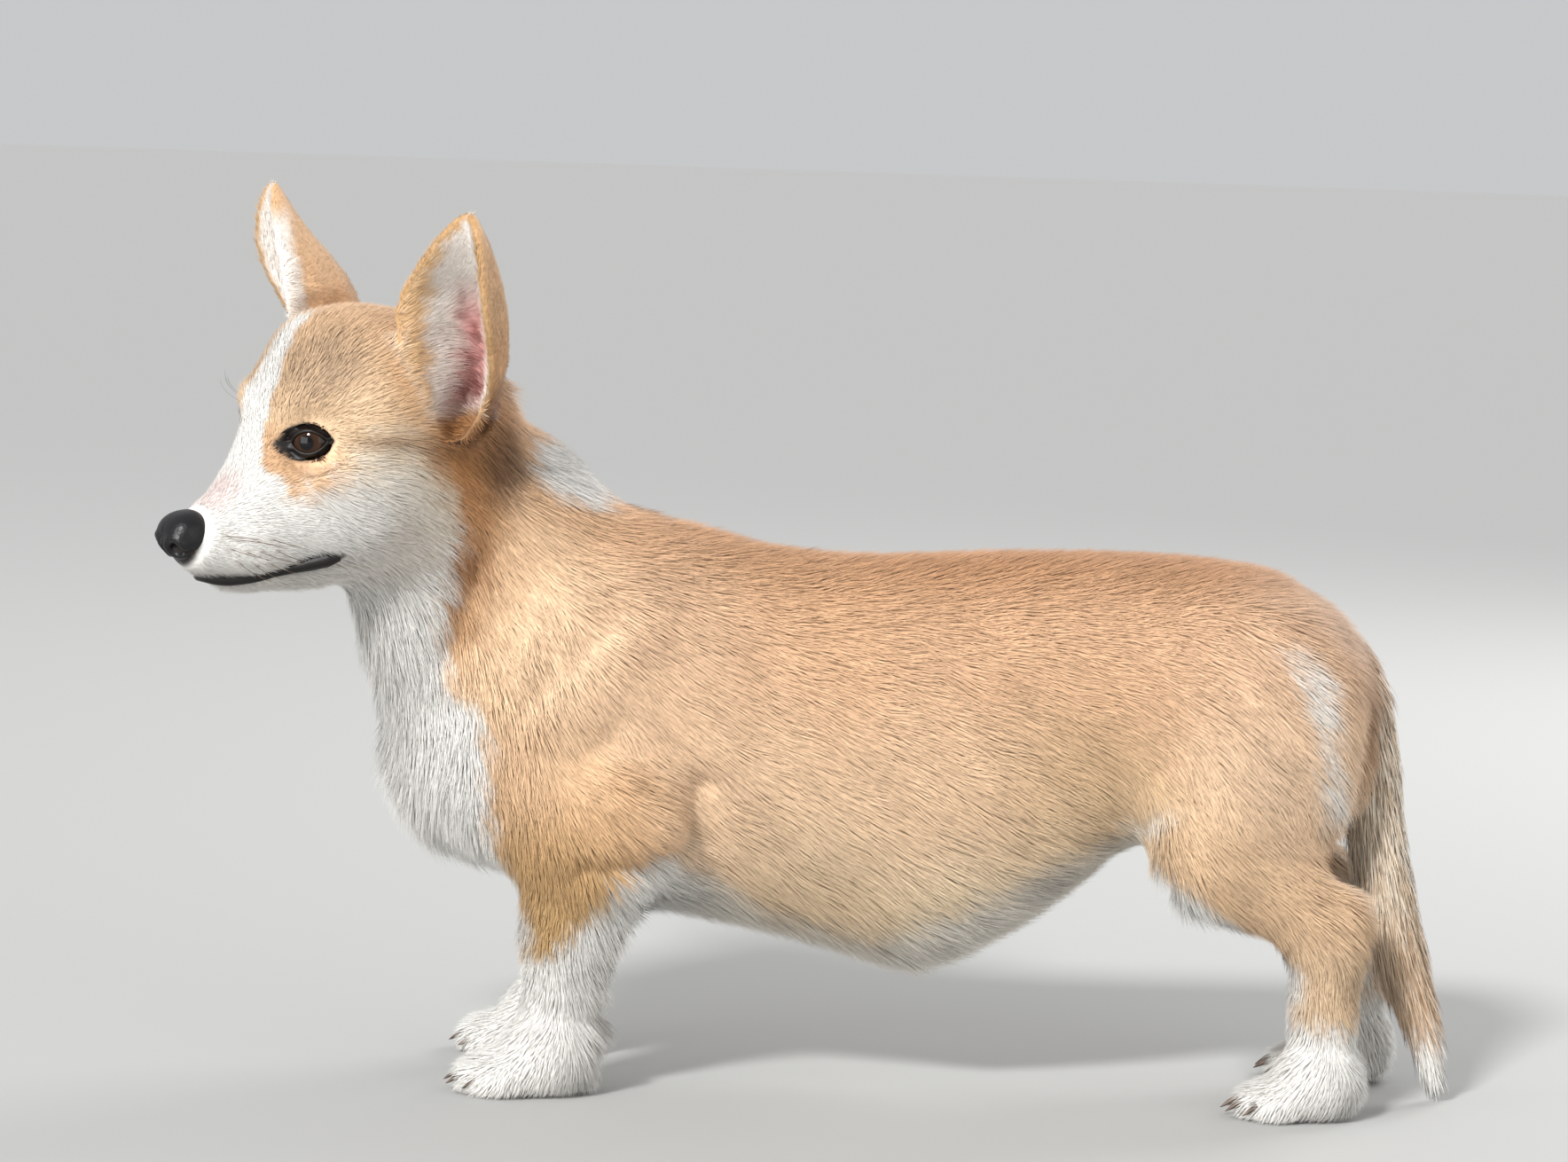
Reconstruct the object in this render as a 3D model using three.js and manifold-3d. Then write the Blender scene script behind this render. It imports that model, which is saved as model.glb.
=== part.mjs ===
// A young Pembroke Welsh corgi, standing square with its head turned to its left, at life size.
// Millimetres. +X is forward, +Y is the dog's left and +Z is up, with the floor at z = 0.
//
// The flesh is one smooth form. Each mass of it, such as the barrel, a thigh or a toe, is a
// function of a point in space that is negative inside the mass and about the distance to its
// skin outside. The masses flow into one another, a grid is laid over each region of the body,
// and a net of vertices is drawn tight over the form. The regions are then parted by thin cuts.

import * as THREE from 'three';
import { LoftGeometry } from 'three/addons/geometries/LoftGeometry.js';
import { mergeVertices } from 'three/addons/utils/BufferGeometryUtils.js';
import Module from 'manifold-3d';

const wasm = await Module();
wasm.setup();

const { abs, cos, hypot, max, min, PI, pow, sin, sqrt } = Math;
const radians = THREE.MathUtils.degToRad;
const SIDES = { left: 1, right: -1 };

// Driving sizes
const GAP = 0.3;
const SHIFT = [16.5, -14, 0];

// The head turns to the left, dips, and tips a little. Its own frame starts at the tip of the
// nose: f runs forward out of the nose, l to the dog's left and u up.
const NOSE_TIP = [249.5, 90, 229.6];
const HEAD_YAW = radians(35);
const HEAD_DIP = radians(8);
const HEAD_TIP = radians(-2.5);

// The trunk in side view, from the rump to the chest: x, height of the back, height of the
// belly and half the width.
const TRUNK = [
  [-252, 172, 140, 14],
  [-246, 190, 128, 30],
  [-232, 208, 119, 45],
  [-205, 223, 112, 54],
  [-175, 228, 108, 56],
  [-145, 229, 101, 55.5],
  [-115, 229, 75, 58],
  [-85, 228, 56.5, 61],
  [-55, 226, 46.5, 62.5],
  [-25, 225, 54, 63],
  [10, 228, 62, 62.5],
  [50, 232, 69, 60],
  [90, 218, 76, 55],
  [125, 190, 88, 45],
  [148, 160, 100, 30],
];

// The head without its nose: f, height of the top, height of the bottom and half the width.
const SKULL = [
  [-5, 2, -14.5, 7.5],
  [-12, 7.5, -20.5, 11],
  [-20, 11, -25, 14],
  [-30, 17.5, -29.5, 17],
  [-40, 31, -31, 20.5],
  [-49, 49, -32, 24.5],
  [-57, 64, -33, 30],
  [-67, 75.5, -33, 35.5],
  [-82, 80.5, -32, 41],
  [-100, 80, -29, 44.5],
  [-122, 74, -20, 43.5],
  [-145, 62, -2, 37],
  [-158, 48, 12, 26],
];

// The tail's middle line from its root in the croup to the tip, with its core and its coat.
const TAIL = [
  [-214, 201, 17, 17],
  [-232, 190, 15.5, 16.5],
  [-242.5, 170, 11.5, 14],
  [-247, 150, 9, 13],
  [-250.5, 128, 8.5, 13],
  [-255.5, 104, 8, 12.5],
  [-260, 82, 8, 12],
  [-265.5, 60, 7, 10.5],
  [-272, 38, 5.5, 7.5],
  [-278.5, 18, 3.5, 4],
  [-282, 4, 1.5, 1.5],
];

// Smooth curves through rows of numbers, the first of which is the place along the body.
function through(rows) {
  const slope = rows.map((row, i) => {
    const a = rows[max(i - 1, 0)];
    const b = rows[min(i + 1, rows.length - 1)];
    return row.map((_, k) => (b[k] - a[k]) / (b[0] - a[0]));
  });
  const rising = rows[1][0] > rows[0][0];
  return (place) => {
    let i = 0;
    while (i < rows.length - 2 && (rising ? place > rows[i + 1][0] : place < rows[i + 1][0])) i += 1;
    const [a, b] = [rows[i], rows[i + 1]];
    const step = b[0] - a[0];
    const t = min(max((place - a[0]) / step, 0), 1);
    const [t2, t3] = [t * t, t * t * t];
    return a.slice(1).map((start, k) =>
      start * (2 * t3 - 3 * t2 + 1) + b[k + 1] * (3 * t2 - 2 * t3) +
      step * (slope[i][k + 1] * (t3 - 2 * t2 + t) + slope[i + 1][k + 1] * (t3 - t2)));
  };
}

// How two masses flow together over a width k, and how one is hollowed by another.
function flow(a, b, k) {
  const h = max(k - abs(a - b), 0) / k;
  return min(a, b) - h * h * k / 4;
}
const hollow = (a, hole, k) => -flow(-a, hole, k);

// An oval mass at a centre, tipped forward in side view.
function oval([cx, cy, cz], [rx, ry, rz], tip = 0) {
  const [c, s] = [cos(radians(tip)), sin(radians(tip))];
  return (x, y, z) => {
    const [dx, dy, dz] = [x - cx, y - cy, z - cz];
    const [px, pz] = [(dx * c - dz * s) / rx, (dx * s + dz * c) / rz];
    const py = dy / ry;
    const near = hypot(px, py, pz);
    return near * (near - 1) / max(hypot(px / rx, py / ry, pz / rz), 1e-6);
  };
}

// A limb from a to b with a radius at each end. It is `across` times as thick from side to side.
function limb(a, b, ra, rb, across = 1) {
  const [ex, ey, ez] = [b[0] - a[0], (b[1] - a[1]) / across, b[2] - a[2]];
  const length2 = ex * ex + ey * ey + ez * ez;
  return (x, y, z) => {
    const [px, py, pz] = [x - a[0], (y - a[1]) / across, z - a[2]];
    const t = min(max((px * ex + py * ey + pz * ez) / length2, 0), 1);
    return (hypot(px - t * ex, py - t * ey, pz - t * ez) - (ra + (rb - ra) * t)) * min(1, across);
  };
}

// A long form whose rows give its top, its bottom and half its width along the first axis.
function hull(rows, square) {
  const at = through(rows);
  const ends = [rows[0][0], rows[rows.length - 1][0]];
  const [first, last] = [min(...ends), max(...ends)];
  return (x, y, z) => {
    const inside = min(max(x, first), last);
    const [top, bottom, halfWidth] = at(inside);
    const halfHeight = (top - bottom) / 2;
    const [py, pz] = [abs(y) / halfWidth, abs(z - (top + bottom) / 2) / halfHeight];
    const near = pow(pow(py, square) + pow(pz, square), 1 / square);
    const steep = hypot(pow(py, square - 1) / halfWidth, pow(pz, square - 1) / halfHeight) /
      pow(max(near, 1e-6), square - 1);
    const across = (near - 1) / max(steep, 1 / max(halfWidth, halfHeight));
    const beyond = abs(x - inside);
    return beyond > 0 ? hypot(max(across, 0), beyond) : across;
  };
}

// The head's frame as a matrix, and back from the body's frame.
const headFrame = (() => {
  const forward = new THREE.Vector3(
    cos(HEAD_YAW) * cos(HEAD_DIP), sin(HEAD_YAW) * cos(HEAD_DIP), -sin(HEAD_DIP));
  const level = new THREE.Vector3(-sin(HEAD_YAW), cos(HEAD_YAW), 0);
  const left = level.clone().applyAxisAngle(forward, HEAD_TIP);
  const up = new THREE.Vector3().crossVectors(forward, left);
  return new THREE.Matrix4().makeBasis(forward, left, up).setPosition(...NOSE_TIP);
})();
const bodyToHead = headFrame.clone().invert();
const scratch = new THREE.Vector3();

// Eyes: the centre of the eyeball and which way it looks.
const EYE = { centre: [-63, 17.2, 29.6], radius: 10.2, out: 42, up: 6 };

// The head in its own frame, the same on both sides.
const headMasses = (() => {
  const skull = hull(SKULL, 2.15);
  const masses = [
    [oval([-84, 26, 4], [25, 14, 21]), 16],
    [oval([-98, 25, 44], [28, 18, 25]), 16],
    [oval([-72, 30, 16], [18, 8, 9]), 12],
    [limb([-44, 10, 0], [-74, 22, -2], 13, 18), 14],
    [oval([-60, 16, 46], [13, 9, 8]), 10],
    [oval([-23, 7.5, -8], [15, 8.5, 11]), 6],
    [oval([-40, 14, -12], [16, 8, 9]), 8],
    [oval([-118, 36, 50], [19, 12, 25], -12), 12],
    [limb([-26, 0, -22], [-60, 9, -21], 6, 11), 6],
    [oval([-93, 10, -14], [32, 23, 18]), 14],
  ];
  const socket = oval([-51, 29.5, 31], [12, 10.5, 10]);
  const lids = oval(EYE.centre, [EYE.radius + 1.5, EYE.radius + 1.5, EYE.radius + 1.2]);
  return (f, l, u) => {
    const side = abs(l);
    let d = skull(f, side, u);
    for (const [mass, k] of masses) d = flow(d, mass(f, side, u), k);
    d = hollow(d, socket(f, side, u), 8);
    return flow(d, lids(f, side, u), 3.5);
  };
})();

// The feet: where each stands, how far it is stepped forward or back, its size against the plain
// paw below, and the height at which it is parted from its leg.
const FORE = { x: 93.5, out: 46, step: { left: 0, right: 4 }, size: 1.06, ankle: 31 };
const HIND = { x: -224, out: 47, step: { left: 0, right: -22 }, size: 0.96, ankle: 30 };

// Legs. Each function gives the masses of one leg, from the trunk to the foot.
function foreleg(side) {
  const s = SIDES[side];
  const x = FORE.step[side];
  return [
    [oval([92, s * 44, 158], [30, 20, 58], -24), 22],
    [limb([116, s * 42, 128], [74, s * 52, 112], 25, 24, 0.85), 18],
    [oval([60, s * 58, 114], [17, 12, 13]), 10],
    [limb([78, s * 52, 102], [82 + x, s * 47, 66], 28, 23.5, 0.72), 16],
    [limb([82 + x, s * 47, 66], [85 + x, s * 45, 42], 23, 17.5, 0.84), 8],
    [limb([84 + x, s * 45, 42], [90 + x, s * 45.5, 20], 17, 17, 0.98), 8],
    ...paw([FORE.x + x, s * FORE.out, 12], s, FORE.size),
  ];
}

function hindleg(side) {
  const s = SIDES[side];
  const x = HIND.step[side];
  return [
    [oval([-198 + x * 0.15, s * 38, 158], [44, 24, 56], 14), 22],
    [oval([-176 + x * 0.3, s * 45, 124], [28, 20, 34], -20), 18],
    [limb([-175 + x * 0.4, s * 50, 104], [-226 + x * 0.9, s * 47, 84], 24, 19, 0.8), 14],
    [oval([-236 + x * 0.9, s * 45, 82], [12, 11, 14], 20), 8],
    [limb([-227 + x * 0.9, s * 46, 80], [-228 + x, s * 46, 46], 19, 15.5, 0.9), 10],
    [limb([-228 + x, s * 46, 46], [-228 + x, s * 46.5, 18], 15.3, 14.8, 0.98), 8],
    ...paw([HIND.x + x, s * HIND.out, 12], s, HIND.size),
  ];
}

// A paw: a pad-bottomed bun with four toes, the middle two longest, turned out a little.
const TOES = [
  { out: -12.5, reach: 19, radius: 7.6 },
  { out: -4.6, reach: 24.5, radius: 8.2 },
  { out: 4.6, reach: 24.5, radius: 8.2 },
  { out: 12.5, reach: 19, radius: 7.6 },
];
const TOE_OUT = radians(9);
function toeLine([cx, cy, cz], s, size, toe) {
  const [c, n] = [cos(TOE_OUT), sin(TOE_OUT) * s];
  const place = (along, out) => [cx + size * (along * c - out * n), cy + size * (along * n + out * c)];
  return {
    back: [...place(-2, toe.out * 0.75), cz + 3],
    tip: [...place(toe.reach, toe.out), toe.radius * size - 1.6],
  };
}
function paw(centre, s, size) {
  const [cx, cy, cz] = centre;
  const bun = oval([cx - 1, cy, cz], [18.2 * size, 18 * size, 15 * size]);
  const toes = TOES.map((toe) => {
    const { back, tip } = toeLine(centre, s, size, toe);
    return [limb(back, tip, (toe.radius + 2.4) * size, toe.radius * size), 2.6];
  });
  return [[bun, 10], ...toes];
}

// The whole form of flesh, without ears, nose, eyes and tail.
const fleshMasses = [
  [limb([70, 0, 172], [125, 8, 228], 60, 47, 0.84), 26],
  [limb([128, 6, 138], [148, 22, 198], 35, 35, 0.95), 22],
  [limb([126, 5, 232], [150, 26, 236], 42, 36, 0.92), 16],
  [oval([128, 0, 126], [40, 32, 34], -16), 14],
  ...foreleg('left'), ...foreleg('right'), ...hindleg('left'), ...hindleg('right'),
];
const trunk = hull(TRUNK, 2.2);
const HEAD_FLOW = 16;
function flesh(x, y, z) {
  let d = trunk(x, y, z);
  for (const [mass, k] of fleshMasses) d = flow(d, mass(x, y, z), k);
  scratch.set(x, y, z).applyMatrix4(bodyToHead);
  return flow(d, headMasses(scratch.x, scratch.y, scratch.z), HEAD_FLOW);
}
const headInItsFrame = (f, l, u) => {
  const p = new THREE.Vector3(f, l, u).applyMatrix4(headFrame);
  return flesh(p.x, p.y, p.z);
};

// Grid lines from one end to the other, fine where `pitch` says so.
function lines(from, to, pitch) {
  const made = [from];
  while (made[made.length - 1] < to) {
    const at = made[made.length - 1];
    made.push(at + (typeof pitch === 'number' ? pitch : pitch(at)));
  }
  return made;
}

// A grid cell's corners, the edges that leave each corner along an axis, and its faces' edges.
const CORNERS = [0, 1, 2, 3, 4, 5, 6, 7].map((n) => [n & 1, (n >> 1) & 1, (n >> 2) & 1]);
const EDGES = [];
CORNERS.forEach((corner, n) => corner.forEach((c, axis) => {
  if (!c) EDGES.push({ from: n, to: n + (1 << axis), axis });
}));
const edgeAt = (corner, axis) => EDGES.findIndex((edge) => edge.from === corner && edge.axis === axis);
const EDGE_OF = CORNERS.map((_, n) => [0, 1, 2].map((axis) => edgeAt(n, axis)));
const FACES = [0, 1, 2].flatMap((axis) => [0, 1].map((side) =>
  EDGES.map((_, n) => n).filter((n) =>
    CORNERS[EDGES[n].from][axis] === side && CORNERS[EDGES[n].to][axis] === side)));

// The sheets of skin that pass through a cell, each as a list of the edges that it crosses.
function sheetsOf(inside) {
  const crossed = EDGES.map(({ from, to }) => inside[from] !== inside[to]);
  const sheet = EDGES.map((_, n) => n);
  const join = (a, b) => {
    const [keep, drop] = [sheet[a], sheet[b]];
    sheet.forEach((name, n) => { if (name === drop) sheet[n] = keep; });
  };
  for (const face of FACES) {
    const cut = face.filter((n) => crossed[n]);
    if (cut.length === 2) join(...cut);
    if (cut.length < 4) continue;
    for (const corner of CORNERS.keys()) {
      const pair = cut.filter((n) => EDGES[n].from === corner || EDGES[n].to === corner);
      if (inside[corner] && pair.length === 2) join(...pair);
    }
  }
  const names = [...new Set(sheet.filter((_, n) => crossed[n]))];
  return names.map((name) => EDGES.map((_, n) => n).filter((n) => crossed[n] && sheet[n] === name));
}

// Draws a net over the skin of a form: one vertex for each sheet of skin in each cell of the
// grid, moved onto the skin, and a quad for each grid edge that the skin crosses.
function net(form, xs, ys, zs, grow = 0) {
  const [nx, ny, nz] = [xs.length, ys.length, zs.length];
  const at = (i, j, k) => (i * ny + j) * nz + k;
  const value = new Float64Array(nx * ny * nz);
  const field = (x, y, z) => form(x, y, z) - grow;
  for (let i = 0; i < nx; i += 1) {
    for (let j = 0; j < ny; j += 1) {
      for (let k = 0; k < nz; k += 1) {
        const edge = i === 0 || j === 0 || k === 0 || i === nx - 1 || j === ny - 1 || k === nz - 1;
        const d = field(xs[i], ys[j], zs[k]);
        value[at(i, j, k)] = edge ? max(abs(d), 0.5) : d || 1e-4;
      }
    }
  }
  const slope = (p) => [0, 1, 2].map((n) => {
    const [a, b] = [[...p], [...p]];
    a[n] -= 0.05;
    b[n] += 0.05;
    return (field(...b) - field(...a)) / 0.1;
  });
  const ontoSkin = (p, low, high) => {
    for (let turn = 0; turn < 3; turn += 1) {
      const g = slope(p);
      const step = field(...p) / max(g[0] * g[0] + g[1] * g[1] + g[2] * g[2], 0.05);
      for (let n = 0; n < 3; n += 1) {
        const slack = (high[n] - low[n]) * 0.02;
        p[n] = min(max(p[n] - g[n] * step, low[n] + slack), high[n] - slack);
      }
    }
  };
  const vertices = [];
  const vertexAt = new Map();
  for (let i = 0; i < nx - 1; i += 1) {
    for (let j = 0; j < ny - 1; j += 1) {
      for (let k = 0; k < nz - 1; k += 1) {
        const values = CORNERS.map(([a, b, c]) => value[at(i + a, j + b, k + c)]);
        const inside = values.map((v) => v < 0);
        if (inside.every((v) => v === inside[0])) continue;
        const places = CORNERS.map(([a, b, c]) => [xs[i + a], ys[j + b], zs[k + c]]);
        const rim = i === 0 || j === 0 || k === 0 || i === nx - 2 || j === ny - 2 || k === nz - 2;
        for (const sheet of sheetsOf(inside)) {
          const p = [0, 0, 0];
          for (const n of sheet) {
            const { from, to } = EDGES[n];
            const t = values[from] / (values[from] - values[to]);
            for (let m = 0; m < 3; m += 1) {
              p[m] += (places[from][m] + (places[to][m] - places[from][m]) * t) / sheet.length;
            }
            vertexAt.set(at(i, j, k) * 12 + n, vertices.length / 3);
          }
          if (!rim) ontoSkin(p, places[0], places[7]);
          vertices.push(...p);
        }
      }
    }
  }
  const index = [];
  const far = (a, b) => hypot(...[0, 1, 2].map((n) => vertices[a * 3 + n] - vertices[b * 3 + n]));
  const quad = (ring, turned) => {
    const [a, b, c, d] = turned ? ring.reverse() : ring;
    if (far(a, c) <= far(b, d)) index.push(a, b, c, a, c, d);
    else index.push(b, c, d, b, d, a);
  };
  for (let i = 0; i < nx - 1; i += 1) {
    for (let j = 0; j < ny - 1; j += 1) {
      for (let k = 0; k < nz - 1; k += 1) {
        const here = value[at(i, j, k)] < 0;
        [[1, 0, 0], [0, 1, 0], [0, 0, 1]].forEach(([a, b, c], axis) => {
          if (here === value[at(i + a, j + b, k + c)] < 0) return;
          // The four cells round the edge, in turn about the axis.
          const ring = [[1, 1], [0, 1], [0, 0], [1, 0]].map(([p, q]) => {
            const back = [0, 0, 0];
            back[(axis + 1) % 3] = p;
            back[(axis + 2) % 3] = q;
            const cell = at(i - back[0], j - back[1], k - back[2]);
            return vertexAt.get(cell * 12 + EDGE_OF[back[0] + 2 * back[1] + 4 * back[2]][axis]);
          });
          quad(ring, !here);
        });
      }
    }
  }
  const geometry = new THREE.BufferGeometry();
  geometry.setAttribute('position', new THREE.Float32BufferAttribute(vertices, 3));
  geometry.setIndex(index);
  return geometry;
}

// Between three.js geometry and solids that can be joined and cut.
function solid(geometry) {
  const bare = new THREE.BufferGeometry();
  bare.setAttribute('position', geometry.getAttribute('position'));
  bare.setIndex(geometry.getIndex());
  const merged = mergeVertices(bare, 1e-3);
  const corners = merged.index.array;
  const kept = [];
  for (let i = 0; i < corners.length; i += 3) {
    const [a, b, c] = corners.subarray(i, i + 3);
    if (a !== b && b !== c && c !== a) kept.push(a, b, c);
  }
  const make = (list) => new wasm.Manifold(new wasm.Mesh({
    numProp: 3,
    vertProperties: new Float32Array(merged.attributes.position.array),
    triVerts: new Uint32Array(list),
  }));
  const made = make(kept);
  return made.volume() > 0 ? made : make(kept.reverse());
}
// A solid lofted through rings, with each end drawn in to a point at its middle.
function loft(rings) {
  const closed = (ring) => {
    const middle = ring.reduce((sum, p) => sum.add(p), new THREE.Vector3()).divideScalar(ring.length);
    return ring.map(() => middle);
  };
  return new LoftGeometry([closed(rings[0]), ...rings, closed(rings[rings.length - 1])]);
}
const largest = (shape) => shape.decompose().sort((a, b) => b.volume() - a.volume())[0];
function geometryOf(shape) {
  const mesh = shape.getMesh();
  const positions = new Float32Array(mesh.numVert * 3);
  for (let i = 0; i < mesh.numVert; i += 1) {
    positions.set(mesh.vertProperties.subarray(i * mesh.numProp, i * mesh.numProp + 3), i * 3);
  }
  const geometry = new THREE.BufferGeometry();
  geometry.setAttribute('position', new THREE.BufferAttribute(positions, 3));
  geometry.setIndex(new THREE.BufferAttribute(mesh.triVerts, 1));
  return geometry;
}

// A region of space: a box with some of its sides cut by planes. Each plane is a point on it and
// the way into the region. `grow` moves every plane out.
function region(low, high, planes, grow = 0) {
  const size = [0, 1, 2].map((n) => high[n] - low[n] + 2 * grow);
  const centre = [0, 1, 2].map((n) => (high[n] + low[n]) / 2);
  let made = solid(new THREE.BoxGeometry(...size).translate(...centre));
  for (const [point, inward] of planes) {
    const n = new THREE.Vector3(...inward).normalize();
    made = made.trimByPlane(n.toArray(), n.dot(new THREE.Vector3(...point)) - grow);
  }
  return made;
}

// The cuts between the parts of the body.
const NECK_BASE = [[105, 0, 190], [0.62, 0, 0.785]];
const HEAD_CUT_POINT = new THREE.Vector3(-116, 0, 10).applyMatrix4(headFrame);
const HEAD_CUT_WAY = new THREE.Vector3(0.84, 0, 0.54).transformDirection(headFrame);
const HEAD_BASE = [HEAD_CUT_POINT.toArray(), HEAD_CUT_WAY.toArray()];
const against = ([point, way]) => [point, way.map((v) => -v)];

const forelimbRegion = (s, grow = 0) => region(
  [36, s > 0 ? 8 : -110, -8], [132, s > 0 ? 110 : -8, 175],
  [[[40, 0, 122], [0.28, 0, -0.96]], [[0, s * 38, 98], [0, s * 0.918, -0.394]],
    [[47, 0, 103], [0.964, 0, 0.265]]], grow);
const hindlimbRegion = (s, grow = 0) => region(
  [-300, s > 0 ? 24 : -110, -8], [-148, s > 0 ? 110 : -24, 215],
  [[[-148, 0, 118], [-0.66, 0, -0.75]]], grow);

// How far apart the lines of the grid lie over each part of the body.
const TRUNK_PITCH = 17;
const NECK_PITCH = 14.5;
const LIMB_PITCH = 11.2;
const PAW_PITCH = 6.5;

const materials = {
  fawn: new THREE.MeshStandardMaterial({ color: 0xc89a68, roughness: 0.85 }),
  white: new THREE.MeshStandardMaterial({ color: 0xe9e4dc, roughness: 0.85 }),
  leather: new THREE.MeshStandardMaterial({ color: 0x17161a, roughness: 0.35 }),
  eye: new THREE.MeshStandardMaterial({ color: 0x1e120b, roughness: 0.08 }),
  claw: new THREE.MeshStandardMaterial({ color: 0x3a2c26, roughness: 0.4 }),
};
const dog = new THREE.Group();
function add(name, shape, material) {
  const mesh = new THREE.Mesh(geometryOf(largest(shape)), material);
  mesh.name = name;
  mesh.position.set(...SHIFT);
  dog.add(mesh);
}

// The head, its nose and its eyes.
const headLines = [
  lines(-186, 12, (f) => (f > -70 ? 4.4 : f > -90 ? 6.5 : 11)),
  lines(-63, 63, (l) => (abs(l) < 34 ? 4.9 : 8.5)),
  lines(-62, 98, (u) => (u > 50 ? 9.5 : u > 16 ? 4.6 : u > -32 ? 5 : 10)),
];
const headForm = (grow) => solid(net(headInItsFrame, ...headLines, grow).applyMatrix4(headFrame));
const inHead = (geometry) => geometry.applyMatrix4(headFrame);

const NOSE = { centre: [-9.5, 0, -4], size: [9.8, 11.8, 11.2] };
function noseForm(grow) {
  const ball = new THREE.SphereGeometry(1, 14, 9);
  ball.scale(...NOSE.size.map((v) => v + grow)).translate(...NOSE.centre);
  return solid(inHead(ball));
}
const nostrils = Object.values(SIDES).map((s) => {
  const bore = new THREE.SphereGeometry(1, 7, 5);
  bore.scale(4.2, 2.4, 2.6).rotateZ(s * 0.5).translate(-1.2, s * 5.2, -3.4);
  const slit = new THREE.SphereGeometry(1, 6, 4);
  slit.scale(5, 1.3, 1.1).rotateZ(s * 0.9).translate(-4.5, s * 9.4, -5.4);
  return solid(inHead(bore)).add(solid(inHead(slit)));
});
const philtrum = solid(inHead(
  new THREE.SphereGeometry(1, 6, 6).scale(1.6, 0.8, 9).translate(-0.6, 0, -9)));

const eyeball = (s, grow) => solid(inHead(
  new THREE.SphereGeometry(EYE.radius + grow, 12, 8)
    .translate(EYE.centre[0], s * EYE.centre[1], EYE.centre[2])));

// The opening between the lids: an almond seen along the way that the eye looks.
const LID_OPENING = { wide: 9.4, high: 5.6, up: 0.5, slant: radians(-4) };
function lidOpening(s) {
  const [out, up] = [radians(EYE.out), radians(EYE.up)];
  const look = new THREE.Vector3(cos(out), s * sin(out), sin(up)).normalize();
  const level = new THREE.Vector3(0, 0, 1).cross(look).normalize().multiplyScalar(s);
  const rise = new THREE.Vector3(0, 0, 1).projectOnPlane(look).normalize();
  const centre = new THREE.Vector3(EYE.centre[0], s * EYE.centre[1], EYE.centre[2]);
  const rings = [[4, 0.7], [9, 1], [20, 1.5]].map(([along, size]) => {
    const ring = [];
    for (let i = 0; i < 16; i += 1) {
      const a = 2 * PI * i / 16;
      const [x, z] = [LID_OPENING.wide * cos(a), LID_OPENING.high * sin(a) * abs(sin(a)) ** 0.4];
      const [c, n] = [cos(LID_OPENING.slant), sin(LID_OPENING.slant)];
      ring.push(centre.clone().addScaledVector(look, along)
        .addScaledVector(level, size * (x * c - z * n))
        .addScaledVector(rise, size * (z * c + x * n) + LID_OPENING.up));
    }
    return ring;
  });
  return solid(inHead(loft(rings)));
}

// The line of the mouth: a groove that follows the skin of the muzzle on each side.
const MOUTH = [
  [-9, -19.5], [-14, -21.2], [-22, -22.4], [-32, -22.4], [-42, -21.2], [-53, -19], [-64, -16.6],
];
function skinAt(f, u) {
  let l = 45;
  while (l > 0 && headInItsFrame(f, l, u) > 0) l -= 0.4;
  return max(l, 0);
}
function mouthGroove(s) {
  const path = MOUTH.map(([f, u]) => new THREE.Vector3(f, s * max(skinAt(f, u), 1), u));
  path.unshift(new THREE.Vector3(-8.5, -s * 1.5, -19.5));
  const curve = new THREE.CatmullRomCurve3(path);
  const rings = [];
  const steps = 14;
  for (let i = 0; i <= steps; i += 1) {
    const t = i / steps;
    const at = curve.getPoint(t);
    const along = curve.getTangent(t);
    const out = new THREE.Vector3(0.35, s, 0).projectOnPlane(along).normalize();
    const rise = new THREE.Vector3().crossVectors(along, out);
    const deep = 2.2 * (t > 0.9 ? 1 - (t - 0.9) * 5 : 1);
    const ring = [[1.8, 0], [0, 1], [-1.2, 0], [0, -1]].map(([a, b]) =>
      at.clone().addScaledVector(out, a * deep * 1.2).addScaledVector(rise, b * deep * 0.62));
    rings.push(ring);
  }
  return solid(inHead(loft(rings)));
}

// An ear is a shell between a front rim, a back line and an outer rim, from the notch at its
// foot to its tip: f, l and u of each along the ear, then how thick the shell is. The near ear
// is turned back and the far ear forward, more so towards the tip.
const EAR = [
  { front: [-104, 44, 26], back: [-114, 42, 25], outer: [-111, 48, 26], thick: 5 },
  { front: [-100.5, 45, 37], back: [-123, 40, 37], outer: [-120, 55, 38], thick: 5 },
  { front: [-95, 44, 55], back: [-127, 45, 55], outer: [-115, 68, 55], thick: 4.8 },
  { front: [-91, 38, 71], back: [-126, 48, 72], outer: [-110, 75, 71], thick: 4.6 },
  { front: [-91.5, 36, 84], back: [-123, 52, 84], outer: [-106.5, 78, 84], thick: 4.4 },
  { front: [-95, 44, 98], back: [-117, 59, 97], outer: [-105, 78.5, 98], thick: 4.1 },
  { front: [-99.5, 53, 110], back: [-112, 64, 109], outer: [-105.5, 76, 110], thick: 3.7 },
  { front: [-103.5, 60, 118], back: [-109, 66, 117.5], outer: [-106.5, 72.5, 118], thick: 3.2 },
  { front: [-106.8, 65, 122], back: [-108.3, 67.2, 122], outer: [-107.5, 69.5, 121.8], thick: 2.4 },
];
const EAR_TURN = { left: -4, right: 9 };
const EAR_RISE = { left: -3, right: 1.5 };
function earLines(side) {
  const curve = (key) => new THREE.CatmullRomCurve3(EAR.map((row) => {
    const [f, l, u] = row[key];
    const k = min(max((u - 30) / 70, 0), 1);
    return new THREE.Vector3(f + EAR_TURN[side] * k, SIDES[side] * l, u + EAR_RISE[side] * k);
  }));
  return ['front', 'back', 'outer'].map(curve);
}
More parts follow.
